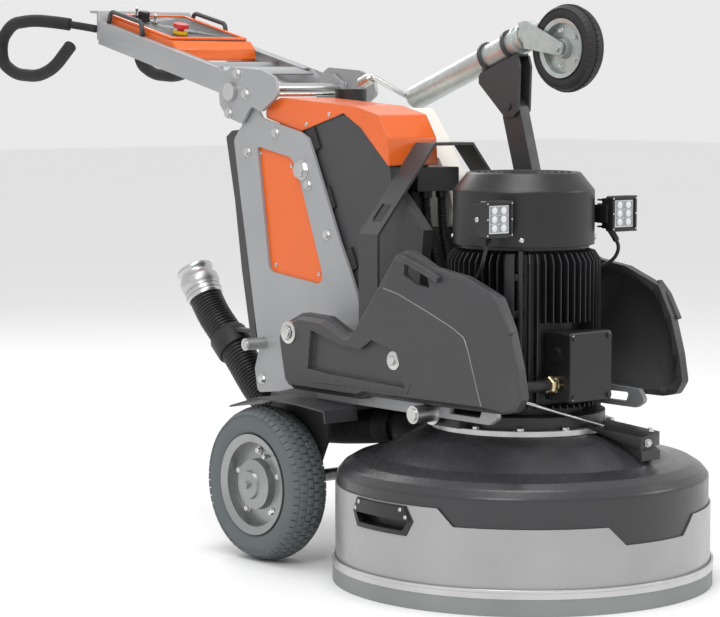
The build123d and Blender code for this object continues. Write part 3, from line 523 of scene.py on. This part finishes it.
def road_wheels():
    for side, out in (("right", -1), ("left", 1)):
        body = f"{side}_wheel"
        tread = tyre_mesh(f"{side}_tyre", (0.0135, 0.0165), 6, 56, 0.0045, 0.59, f"{side}_tyre_tread")
        add_piece(f"{side}_tyre_tread", tread, grey_tyre, body, (f"{side}_tyre",))
        low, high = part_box(f"{side}_rim")
        centre = (low + high) / 2
        x = (low.x if side == "right" else high.x) - out * RIM_RECESS
        bm = bmesh.new()
        for step in range(RIM_BOLTS):
            angle = 2 * math.pi * step / RIM_BOLTS + 0.3
            hex_bolt(bm, on_wheel(centre, x, RIM_BOLT_CIRCLE, angle), (out, 0, 0), 0.013, 0.007)
        lathe(bm, [(0.004, 0), (0.004, 0.02), (0.0055, 0.021), (0.0055, 0.03), (0, 0.031)],
              facing(on_wheel(centre, x, VALVE_CIRCLE, 2.2), (out, 0, 0)), 14)
        add_piece(f"{side}_wheel_bolts", mesh_from(bm, "wheel_bolts"), zinc, body)


def jockey_wheel():
    tread = tyre_mesh("jockey_tyre", (0.0095, 0.013), 3, 44, 0.0025, 0.61, "jockey_tyre_tread")
    add_piece("jockey_tyre_tread", tread, black_tyre, "jockey_wheel", ("jockey_tyre",))
    centre = middle("jockey_rim")
    bm = bmesh.new()
    for out in (-1, 1):
        for step in range(RIM_BOLTS):
            angle = 2 * math.pi * step / RIM_BOLTS
            place = on_wheel(centre, centre.x + out * JOCKEY_BOLT_X, JOCKEY_BOLT_CIRCLE, angle)
            hex_bolt(bm, place, (out, 0, 0), 0.010, 0.006)
    add_piece("jockey_rim_bolts", mesh_from(bm, "jockey_rim_bolts"), zinc, "jockey_wheel")


# ---------------------------------------------------------------- hose, conduits, cable
HOSE = [(-0.1, 0.3647, 0.576), (-0.1, 0.3342, 0.533), (-0.1, 0.2812, 0.49), (-0.1, 0.2142, 0.432),
        (-0.1, 0.1462, 0.362), (-0.1, 0.0662, 0.304), (-0.08, -0.0238, 0.284), (-0.05, -0.1138, 0.284),
        (-0.025, -0.1988, 0.292), (-0.018, -0.2738, 0.302)]
CONDUITS = [[(0.03, -0.3958, 0.846), (0.03, -0.3958, 0.78), (0.034, -0.4178, 0.7), (0.038, -0.4358, 0.63),
             (0.038, -0.4238, 0.556), (0.036, -0.4118, 0.53), (0.036, -0.4118, 0.5)],
            [(-0.02, -0.3958, 0.846), (-0.02, -0.3958, 0.79), (-0.015, -0.4238, 0.715),
             (-0.012, -0.4398, 0.64), (-0.014, -0.4278, 0.56), (-0.016, -0.4158, 0.53),
             (-0.016, -0.4158, 0.5)]]
RIB_SHAPE = (0.0, 0.25, 1.0, 1.0, 0.75, 0.1)


def corrugated(bm, route, radius, pitch, depth, segments):
    """Ribbed tube along a route, with one turn of the rib shape in each pitch."""
    steps = len(RIB_SHAPE)
    line = smooth_path(route, pitch / steps)
    tube(bm, line, lambda i: radius - depth + depth * RIB_SHAPE[i % steps], segments)


def dust_hose():
    bm = bmesh.new()
    corrugated(bm, HOSE, radius=0.0425, pitch=0.0092, depth=0.0045, segments=48)
    add_piece("dust_hose_corrugated", mesh_from(bm, "dust_hose_corrugated"), black_plastic, "chassis",
              ("dust_hose",))


def cable_conduits():
    bm = bmesh.new()
    for route in CONDUITS:
        corrugated(bm, route, radius=0.0112, pitch=0.0052, depth=0.002, segments=20)
    add_piece("conduits_corrugated", mesh_from(bm, "conduits_corrugated"), black_plastic, "chassis",
              ("cable_conduits",))


def hose_end():
    """Metal coupling at the free end of the hose, and the clamp band behind it."""
    start = Vector(HOSE[0])
    way = (start - Vector(HOSE[1])).normalized()
    bm = bmesh.new()
    profile = [(0.037, 0.0), (0.0475, 0.0), (0.0475, 0.008), (0.0448, 0.009), (0.0448, 0.012),
               (0.0475, 0.013), (0.0475, 0.019), (0.0495, 0.022), (0.0503, 0.028), (0.0503, 0.040),
               (0.0492, 0.0445), (0.0455, 0.048), (0.0432, 0.053), (0.0428, 0.059), (0.0445, 0.0635),
               (0.0468, 0.0655), (0.0475, 0.0695), (0.0468, 0.0735), (0.0445, 0.075), (0.0395, 0.075),
               (0.0378, 0.073), (0.037, 0.068)]
    lathe(bm, profile, facing(start, way), 64, closed=True)
    add_piece("hose_camlock", mesh_from(bm, "hose_camlock"), cast_alu, "chassis",
              ("hose_coupling",))
    bm = bmesh.new()
    lathe(bm, [(0.0428, -0.012), (0.0455, -0.012), (0.0462, -0.009), (0.0462, -0.002), (0.0455, 0.0),
               (0.0428, 0.0)], facing(start, way), 56, closed=True)
    screw(bm, start - way * 0.006 + Vector((0, 0.03, -0.0355)), (0, 0.65, -0.76), 0.005)
    add_piece("hose_clamp_band", mesh_from(bm, "hose_clamp_band"), zinc, "chassis")


def dust_boot():
    """Ribbed rubber boot between the hose and the port of the dome."""
    bm = bmesh.new()
    line = [Vector((-0.018, -0.3118 + 0.0022 * i, 0.302)) for i in range(27)]
    tube(bm, line, lambda i: 0.0495 + (0.0025 if i % 4 < 2 else 0.0), 48, capped=False)
    boot = link("dust_boot", mesh_from(bm, "dust_boot"), black_rubber)
    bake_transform(boot)


# ---------------------------------------------------------------- lamps and small fasteners
LAMP_BACK_SCREW_Y = -0.8008
BEZEL_CORNERS = ((-1, -1), (1, -1), (1, 1), (-1, 1))
PLATE_RADIUS = 0.4272
# (degrees round the head, height)
PLATE_SCREWS = ((-9.2, 0.2095), (-11.1, 0.1945), (9.2, 0.2095), (11.1, 0.1945))


def lamp_cells(side, body, centre, face):
    """Six lens buttons, each in its own square reflector cell."""
    lenses, cells = bmesh.new(), bmesh.new()
    for column in (-0.5, 0.5):
        for row in (-1, 0, 1):
            place = Vector((centre.x + column * 0.027, face + 0.0004, centre.z + row * 0.019))
            lathe(lenses, [(0.0082, 0), (0.0075, 0.0014), (0.0055, 0.0022), (0, 0.0026)],
                  facing(place, (0, -1, 0)), 20)
            slab(cells, (0.025, 0.001, 0.0175), Matrix.Translation((place.x, face + 0.0006, place.z)), 0.0003)
    add_piece(f"{side}_lamp_lenses", mesh_from(lenses, "lenses"), led_white, body)
    add_piece(f"{side}_lamp_cells", mesh_from(cells, "cells"), rim_grey, body)


def lamp_bezel(side, body, centre, face):
    bm = bmesh.new()
    for (ax, az), (bx, bz) in zip(BEZEL_CORNERS, BEZEL_CORNERS[1:] + BEZEL_CORNERS[:1]):
        size = (0.006 if ax == bx else 0.078, 0.0035, 0.006 if az == bz else 0.080)
        place = (centre.x + (ax + bx) / 2 * 0.0355, face - 0.0006, centre.z + (az + bz) / 2 * 0.0365)
        slab(bm, size, Matrix.Translation(place), 0.0008)
    add_piece(f"{side}_lamp_bezel", mesh_from(bm, "bezel"), black_iron, body)


def work_lamps():
    for side, sign in (("right", -1), ("left", 1)):
        body = f"{side}_lamp_unit"
        low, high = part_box(f"{side}_lamp")
        centre, face = (low + high) / 2, low.y
        bm = bmesh.new()
        slab(bm, (0.066, 0.0012, 0.068), Matrix.Translation((centre.x, face + 0.0012, centre.z)), 0.0004)
        add_piece(f"{side}_lamp_reflector", mesh_from(bm, "reflector"), chrome, body)
        lamp_cells(side, body, centre, face)
        lamp_bezel(side, body, centre, face)
        bm = bmesh.new()
        for ax in (-1, 1):
            for az in (-1, 0, 1):
                place = (centre.x + ax * 0.0355, face - 0.0023, centre.z + az * 0.0345)
                screw(bm, place, (0, -1, 0), 0.0022, 0.0012)
        screw(bm, (centre.x + sign * 0.038, LAMP_BACK_SCREW_Y, centre.z), (sign, 0, 0), 0.006)
        add_piece(f"{side}_lamp_screws", mesh_from(bm, "lamp_screws"), zinc, body)


def head_screws():
    """Screws of the two hand pocket plates and of the terminal box lid."""
    for side, sign in (("right", -1), ("left", 1)):
        bm = bmesh.new()
        for angle, z in PLATE_SCREWS:
            swing = math.radians(angle)
            out = Vector((sign * math.cos(swing), math.sin(swing), 0))
            screw(bm, Vector((0, HEAD_Y, z)) + out * PLATE_RADIUS, out, 0.0045, 0.0022)
        add_piece(f"{side}_pocket_screws", mesh_from(bm, "pocket_screws"), zinc, "head")

    bm = bmesh.new()
    for x in (-0.064, 0.046):
        for z in (0.431, 0.566):
            screw(bm, (x, HEAD_Y - 0.2252, z), (0, -1, 0), 0.0038, 0.002)
    add_piece("terminal_screws", mesh_from(bm, "terminal_screws"), zinc, "head")


# ---------------------------------------------------------------- weights
# Outlines are (y, z) in millimetres, with y counted from the head's axis towards the handle.
WEIGHT_EDGE = [(543, 522), (526, 549), (468, 575), (378, 572), (306, 541), (288, 542), (264, 570),
               (140, 724), (98, 739), (15, 706), (-85, 692), (-187, 656), (-223, 594), (-249, 512),
               (-260, 452), (-241, 427), (-209, 418), (-19, 415), (235, 415), (255, 406), (506, 406),
               (521, 421), (537, 489)]
WEIGHT_PLATEAU = [(536, 519), (520, 542), (466, 566), (379, 563), (307, 532), (285, 533), (255, 562),
                  (178, 655), (163, 659), (112, 649), (12, 616), (-69, 587), (-104, 569), (-117, 544),
                  (-143, 471), (-160, 426), (235, 422), (257, 413), (503, 413), (515, 425), (530, 489)]
RIDGE_POINTS = slice(8, 16)
WEIGHT_POCKET = [(432, 455), (340, 449), (88, 443), (118, 520), (204, 540), (243, 516), (310, 520),
                 (420, 546)]
WEIGHT_POCKET_FLOOR = [(y * 0.985 + 4, z * 0.98 + 10) for y, z in WEIGHT_POCKET]
WEIGHT_SLOT = [(104, 692), (100, 717), (24, 690), (18, 668), (60, 672)]
# (points, distance of the bars from the middle plane, their width, height and bevel)
WEIGHT_LIPS = (([(114, 731), (20, 702), (-14, 688)], 0.2655, 0.016, 0.014, 0.0035),
               ([(-174, 668), (-203, 640), (-234, 588)], 0.256, 0.014, 0.008, 0.0025),
               ([(425, 428), (82, 431), (70, 452)], 0.2735, 0.003, 0.004, 0.001))
# distances from the middle plane
BACK_X, SLOT_FLOOR_X, EDGE_X, POCKET_X, SLOT_X, PLATEAU_X = 0.2575, 0.2585, 0.2592, 0.2605, 0.264, 0.2735


def loop(bm, points, x):
    verts = [bm.verts.new((x, (y + HEAD_Y_MM) / MM, z / MM)) for y, z in points]
    return verts, [bm.edges.new((verts[i - 1], verts[i])) for i in range(len(verts))]


def walls(bm, first, second):
    for i in range(len(first)):
        bm.faces.new((first[i - 1], first[i], second[i], second[i - 1]))


def fill(bm, sign, *outlines):
    edges = [edge for outline in outlines for edge in outline]
    bmesh.ops.triangle_fill(bm, use_beauty=True, use_dissolve=False, edges=edges, normal=(sign, 0, 0))


def strip(bm, points, x, width, height, bevel):
    """Row of bevelled bars along (y, z) points in millimetres."""
    places = [Vector((x, (y + HEAD_Y_MM) / MM, z / MM)) for y, z in points]
    for start, end in zip(places, places[1:]):
        way = end - start
        turn = Matrix.Rotation(math.atan2(way.z, way.y), 4, "X")
        place = Matrix.Translation((start + end) / 2) @ turn
        slab(bm, (width, way.length + height * 0.35, height), place, bevel)


def thinned(depth):
    """Where a point on the weight's outer side moves to, to make room for the cast face."""
    if depth > 0.2565:
        return 0.251 + (depth - 0.257) * 0.8
    return 0.235 + (depth - 0.235) * 0.727


def weight_body(side, sign):
    bm = welded_copy(f"{side}_weight")
    for vert in bm.verts:
        depth = abs(vert.co.x)
        if depth > 0.2362:
            vert.co.x = sign * thinned(depth)
    body = add_piece(f"{side}_weight_body", mesh_from(bm, "weight_body"), weight_paint, f"{side}_weight",
                     (f"{side}_weight",))
    body.data.set_sharp_from_angle(angle=math.radians(30))


def weight_face(side, sign):
    """Proud cast face with a sloping shoulder, a pocket and the finger slot."""
    bm = bmesh.new()
    edge, edge_lines = loop(bm, WEIGHT_EDGE, sign * EDGE_X)
    _, top_lines = loop(bm, WEIGHT_PLATEAU, sign * PLATEAU_X)
    slot, slot_lines = loop(bm, WEIGHT_SLOT, sign * SLOT_X)
    pocket, pocket_lines = loop(bm, WEIGHT_POCKET, sign * PLATEAU_X)
    floor, floor_lines = loop(bm, WEIGHT_POCKET_FLOOR, sign * POCKET_X)
    deep, _ = loop(bm, WEIGHT_SLOT, sign * SLOT_FLOOR_X)
    back, _ = loop(bm, WEIGHT_EDGE, sign * BACK_X)
    fill(bm, sign, edge_lines, top_lines, slot_lines)
    fill(bm, sign, top_lines, pocket_lines)
    fill(bm, sign, floor_lines)
    walls(bm, pocket, floor)
    walls(bm, slot, deep)
    walls(bm, edge, back)
    skin = add_piece(f"{side}_weight_face", mesh_from(bm, "weight_face"), weight_paint, f"{side}_weight")
    skin.data.set_sharp_from_angle(angle=math.radians(6))


def weight_trim(side, sign):
    """The painted highlight line along the ridge, and the raised lips."""
    x = sign * (PLATEAU_X - 0.0006)
    ridge = [Vector((x, (y + HEAD_Y_MM) / MM, z / MM)) for y, z in WEIGHT_PLATEAU[RIDGE_POINTS]]
    bm = bmesh.new()
    # Thin light tube on the ridge: a painted highlight line.
    tube(bm, ridge, lambda i: 0.0016, 10)
    add_piece(f"{side}_weight_ridge", mesh_from(bm, "weight_ridge"), painted_highlight_ridge, f"{side}_weight")
    bm = bmesh.new()
    for points, lip_x, width, height, bevel in WEIGHT_LIPS:
        strip(bm, points, sign * lip_x, width, height, bevel)
    add_piece(f"{side}_weight_lip", mesh_from(bm, "weight_lip"), weight_paint, f"{side}_weight")


def weight_bolts(side, sign):
    """The bolt in the pocket, and the cap and bolt of the pivot."""
    out = (sign, 0, 0)
    place = Vector((sign * POCKET_X, -0.5618, 0.498))
    bm = bmesh.new()
    lathe(bm, [(0.021, 0), (0.021, 0.0012), (0.0165, 0.002), (0.0, 0.002)], facing(place, out), 36)
    hex_bolt(bm, place + Vector((sign * 0.0018, 0, 0)), out, 0.019, 0.008, washer=False)
    add_piece(f"{side}_weight_bolt", mesh_from(bm, "weight_bolt"), zinc, f"{side}_weight")
    place = Vector((sign * 0.2735, -0.2038, 0.534))
    bm = bmesh.new()
    lathe(bm, [(0.0262, 0), (0.0262, 0.0035), (0.0235, 0.0045), (0.0175, 0.0045), (0.017, 0.0012),
               (0.0, 0.0012)], facing(place, out), 44)
    hex_bolt(bm, place + Vector((sign * 0.01, 0, 0)), out, 0.021, 0.002, washer=False)
    add_piece(f"{side}_pivot_bolt", mesh_from(bm, "pivot_bolt"), zinc, "chassis")


def weights():
    for side, sign in (("right", -1), ("left", 1)):
        weight_body(side, sign)
        weight_face(side, sign)
        weight_trim(side, sign)
        weight_bolts(side, sign)


# ---------------------------------------------------------------- handle and controls
DECK_SLOPE = math.radians(13.3)
DECK_NORMAL = Vector((0, -math.sin(DECK_SLOPE), math.cos(DECK_SLOPE)))
DECK_RIM_FRONT, DECK_RIM_BACK = 0.475, 0.744
KNOB_RIBS = 14


def deck_z(y):
    """Height of the control box's sloping deck."""
    return 1.213 + (y - 0.4462) * math.tan(DECK_SLOPE)


def console():
    """Control box in its own colours: dark deck, yellow ring under the stop button, bright collars."""
    split("console", "handle", [
        ("console_body", lambda size: size.x > 0.243, orange, "orange_plastic"),
        ("console_deck", lambda size: 0.2 < size.x < 0.243, black_plastic, "black_plastic"),
        ("estop_ring", lambda size: 0.03 < size.x < 0.1, yellow, "orange_plastic"),
        ("switch_collars", lambda size: size.x < 0.03, chrome, "zinc_steel")])
    lean = Matrix.Rotation(DECK_SLOPE, 4, "X")
    bm = bmesh.new()
    y = (DECK_RIM_FRONT + DECK_RIM_BACK) / 2
    for x in (-0.1165, 0.1165):
        slab(bm, (0.011, (DECK_RIM_BACK - DECK_RIM_FRONT) / math.cos(DECK_SLOPE), 0.007),
             Matrix.Translation((x, y, deck_z(y) + 0.0042)) @ lean, 0.0022)
    for y in (DECK_RIM_FRONT + 0.0015, DECK_RIM_BACK - 0.0015):
        slab(bm, (0.238, 0.010, 0.007), Matrix.Translation((0, y, deck_z(y) + 0.0042)) @ lean, 0.0022)
    add_piece("console_rim", mesh_from(bm, "console_rim"), orange, "handle")


def switches():
    """Bright tips on the toggles, and ribs round the speed knob."""
    for name, body in (("toggle_1", "toggle_one"), ("toggle_2", "toggle_two")):
        low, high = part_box(name)
        tip = Vector(((low.x + high.x) / 2, low.y + 0.002, high.z - 0.002))
        bm = bmesh.new()
        lathe(bm, [(0, -0.006), (0.0036, -0.005), (0.0046, -0.001), (0.0046, 0.002), (0.0032, 0.005),
                   (0, 0.006)], facing(tip, DECK_NORMAL), 20)
        add_piece(f"{name}_tip", mesh_from(bm, "toggle_tip"), chrome, body)
    base = middle("speed_knob") - DECK_NORMAL * 0.001
    rib = Matrix.Translation((0.0142, 0, 0.0015))
    bm = bmesh.new()
    for step in range(KNOB_RIBS):
        around = facing(base, DECK_NORMAL, 2 * math.pi * step / KNOB_RIBS)
        slab(bm, (0.0028, 0.0024, 0.0185), around @ rib, 0.0007)
    add_piece("speed_knob_ribs", mesh_from(bm, "speed_knob_ribs"), black_plastic, "knob")


def handle_frame():
    """Handle frame in its own colours: dark grab guards and black rods under the grips."""
    split("handle_frame", "handle", [
        ("handle_arms", lambda size: size.x > 0.25, silver, "silver_paint"),
        ("grab_guards", lambda size: size.x < 0.03, dark_plastic, "dark_plastic"),
        ("grip_rods", lambda size: 0.03 <= size.x <= 0.25, foam, "black_rubber")])


def hose_sleeve():
    upper, lower = Vector(HOSE[2]), Vector(HOSE[3])
    bm = bmesh.new()
    lathe(bm, [(0.0425, -0.026), (0.0478, -0.026), (0.0495, -0.022), (0.0495, 0.022), (0.0478, 0.026),
               (0.0425, 0.026)], facing((upper + lower) / 2, (upper - lower).normalized()), 56, closed=True)
    add_piece("hose_sleeve", mesh_from(bm, "hose_sleeve"), black_rubber, "chassis")


# ---------------------------------------------------------------- motor
FINS = 60
FIN_ROOT, FIN_TIP, HALF_FIN = 0.132, 0.1722, 0.0014
FIN_FOOT, BOX_TOP = 0.402, 0.59
PAD_FINS = (213.5, 227.5)
HEAD_AXIS = Vector((0, HEAD_Y, 0))
ON_HEAD = Matrix.Translation(HEAD_AXIS)
# (degrees round the motor, width, top) of the upright bars of the foot pads
PAD_BARS = ((216.5, 0.021, 0.742), (224.5, 0.010, 0.748), (36.5, 0.021, 0.742), (44.5, 0.010, 0.748))
PAD_FOOT = 0.405
LAMP_CABLE = ((0.178, -0.781, 0.812), (0.182, -0.79, 0.786), (0.196, -0.797, 0.765), (0.208, -0.80, 0.738),
              (0.2, -0.78, 0.705), (0.176, -0.745, 0.69))


def fin(bm, angle, outline):
    turn = ON_HEAD @ Matrix.Rotation(angle, 4, "Z")
    near, far = [[bm.verts.new(turn @ Vector((radius, off, z))) for radius, z in outline]
                 for off in (-HALF_FIN, HALF_FIN)]
    bm.faces.new(near)
    bm.faces.new(list(reversed(far)))
    walls(bm, near, far)


def motor_fins():
    """Finned barrel, with shorter fins where the terminal box sits and none where the pads are."""
    bm = bmesh.new()
    barrel = [(0.1355, 0.3865), (0.1355, 0.7535), (0.1, 0.7535), (0.1, 0.3865)]
    collar = [(0.1352, 0.739), (0.1468, 0.748), (0.1468, 0.7545), (0.1352, 0.7545)]
    lathe(bm, barrel, ON_HEAD, 96, closed=True)
    lathe(bm, collar, ON_HEAD, 96, closed=True)
    for step in range(FINS):
        angle = 2 * math.pi * (step + 0.5) / FINS
        if PAD_FINS[0] < math.degrees(angle) < PAD_FINS[1]:
            continue
        boxed = -0.079 < 0.172 * math.cos(angle) < 0.061 and math.sin(angle) < 0
        foot = BOX_TOP if boxed else FIN_FOOT
        fin(bm, angle, [(FIN_ROOT, foot), (FIN_TIP, foot), (FIN_TIP, 0.722), (0.160, 0.741),
                        (FIN_ROOT, 0.748)])
        if boxed:
            fin(bm, angle, [(FIN_ROOT, FIN_FOOT), (FIN_TIP, FIN_FOOT), (FIN_TIP, 0.4105), (FIN_ROOT, 0.4105)])
    add_piece("motor_fins", mesh_from(bm, "motor_fins"), black_iron, "head", ("motor_frame",),
              smooth=False)


def motor_pads():
    """Flat foot pads on two sides of the motor, each with four drilled bosses."""
    bm = bmesh.new()
    for degrees, width, top in PAD_BARS:
        turn = ON_HEAD @ Matrix.Rotation(math.radians(degrees), 4, "Z")
        place = turn @ Matrix.Translation((0.155, 0, (PAD_FOOT + top) / 2))
        slab(bm, (0.036, width, top - PAD_FOOT), place, 0.002)
    for degrees in (220.8, 40.8):
        turn = ON_HEAD @ Matrix.Rotation(math.radians(degrees), 4, "Z")
        for z in (0.69, 0.61, 0.53, 0.45):
            slab(bm, (0.03, 0.032, 0.016), turn @ Matrix.Translation((0.151, 0, z)), 0.003)
            hole = turn @ Matrix.Translation((0.166, 0.009, z)) @ Matrix.Rotation(math.radians(90), 4, "Y")
            lathe(bm, [(0.0075, 0), (0.0075, 0.003), (0.004, 0.003), (0.004, 0.0005), (0, 0.0005)], hole, 20)
    add_piece("motor_pads", mesh_from(bm, "motor_pads"), black_iron, "head")


def motor_fittings():
    """Brass gland of the terminal box, and the screws of the fan cover."""
    place, out = (-0.0695, -0.8818, 0.46), (-1, 0, 0)
    bm = bmesh.new()
    lathe(bm, [(0.0205, 0), (0.0205, 0.009), (0.0188, 0.010), (0, 0.010)], facing(place, out), 6)
    lathe(bm, [(0.0175, 0.010), (0.0175, 0.0145), (0.0, 0.0145)], facing(place, out), 30)
    lathe(bm, [(0.0202, 0.0145), (0.0202, 0.023), (0.018, 0.0262), (0.0135, 0.0272), (0, 0.0272)],
          facing(place, out, 0.4), 6)
    add_piece("brass_gland", mesh_from(bm, "brass_gland"), brass, "head")
    bm = bmesh.new()
    for degrees in (-135.2, -45.2, 44.8, 134.8):
        swing = math.radians(degrees)
        spot = HEAD_AXIS + Vector((0.1578 * math.cos(swing), 0.1578 * math.sin(swing), 0.771))
        screw(bm, spot, (math.cos(swing), math.sin(swing), 0), 0.006, 0.004)
    add_piece("cover_screws", mesh_from(bm, "cover_screws"), zinc, "head")


def lamp_cables():
    """Short lead of each lamp, with a thicker sleeve near its top."""
    for side, sign in (("right", -1), ("left", 1)):
        bm = bmesh.new()
        line = smooth_path([(sign * x, y, z) for x, y, z in LAMP_CABLE], 0.004)
        tube(bm, line, lambda i: 0.0072 if 8 <= i <= 15 else 0.0042, 16)
        add_piece(f"{side}_lamp_cable", mesh_from(bm, "lamp_cable"), black_rubber, "head")


# ---------------------------------------------------------------- front bracket
COVER_TOP = ((0.0044, -0.9, 0.366), (0.102, -0.876, 0.368), (0.1362, -0.9971, 0.352),
             (0.0517, -1.0209, 0.347))
COVER_DROPS = (0.0055, 0.0055, 0.03, 0.03)


def front_bracket():
    split("front_bracket", "head", [
        ("front_bracket_body", lambda size: size.z > 0.06 and size.x < 0.07, dark_paint, "dark_paint"),
        ("front_hinge_bolt", lambda size: size.x < 0.02, zinc, "zinc_steel"),
        ("stay_rod", lambda size: size.x > 0.1, chrome, "zinc_steel")])


def bracket_cover():
    """Wide sheet cover over the hinged bracket on the dome's front, with its flange and bolts."""
    bm = bmesh.new()
    upper = [bm.verts.new(place) for place in COVER_TOP]
    lower = [bm.verts.new((x, y, z - drop)) for (x, y, z), drop in zip(COVER_TOP, COVER_DROPS)]
    bm.faces.new(upper)
    bm.faces.new(list(reversed(lower)))
    walls(bm, upper, lower)
    bmesh.ops.bevel(bm, geom=list(bm.edges), offset=0.0022, segments=2, affect="EDGES", profile=0.6)
    add_piece("bracket_cover", mesh_from(bm, "bracket_cover"), motor_black, "head")
    bm = bmesh.new()
    hex_bolt(bm, (0.108, -0.9955, 0.3545), (0, -0.13, 1), 0.010, 0.005)
    hex_bolt(bm, (0.078, -1.0165, 0.333), (-0.27, -0.96, 0), 0.012, 0.006)
    add_piece("bracket_bolts", mesh_from(bm, "bracket_bolts"), zinc, "head")


# ---------------------------------------------------------------- covers
TAB_PLACES = ((-0.121, 0.977), (-0.1778, 0.839), (-0.2584, 0.70))
RIVET_PLACES = ((0.0782, 0.941), (-0.0414, 0.913), (0.0199, 0.6725), (-0.1461, 0.6596))
SIDE_RIVET_PLACES = ((-0.0958, 1.0133), (-0.1816, 1.0377))


def cover_fittings():
    """Rubber latch tabs along the hood, and the rivets of the side covers."""
    lean = Matrix.Rotation(math.radians(-26), 4, "X")
    bm = bmesh.new()
    for sign in (-1, 1):
        for y, z in TAB_PLACES:
            slab(bm, (0.009, 0.03, 0.054), Matrix.Translation((sign * 0.1325, y - 0.003, z)) @ lean, 0.003)
    add_piece("latch_tabs", mesh_from(bm, "latch_tabs"), black_rubber, "chassis")
    bm = bmesh.new()
    for sign in (-1, 1):
        for y, z in RIVET_PLACES:
            screw(bm, (sign * 0.1368, y, z), (sign, 0, 0), 0.0052, 0.0026)
    for y, z in SIDE_RIVET_PLACES:
        screw(bm, (-0.1345, y, z), (-1, 0, 0), 0.0055, 0.0028)
    add_piece("cover_rivets", mesh_from(bm, "cover_rivets"), zinc, "chassis")


# ---------------------------------------------------------------- the whole machine
dress_frame()
stage()
road_wheels()
jockey_wheel()
dust_hose()
cable_conduits()
hose_end()
dust_boot()
work_lamps()
head_screws()
weights()
console()
switches()
motor_fins()
motor_pads()
motor_fittings()
lamp_cables()
front_bracket()
bracket_cover()
handle_frame()
hose_sleeve()
cover_fittings()
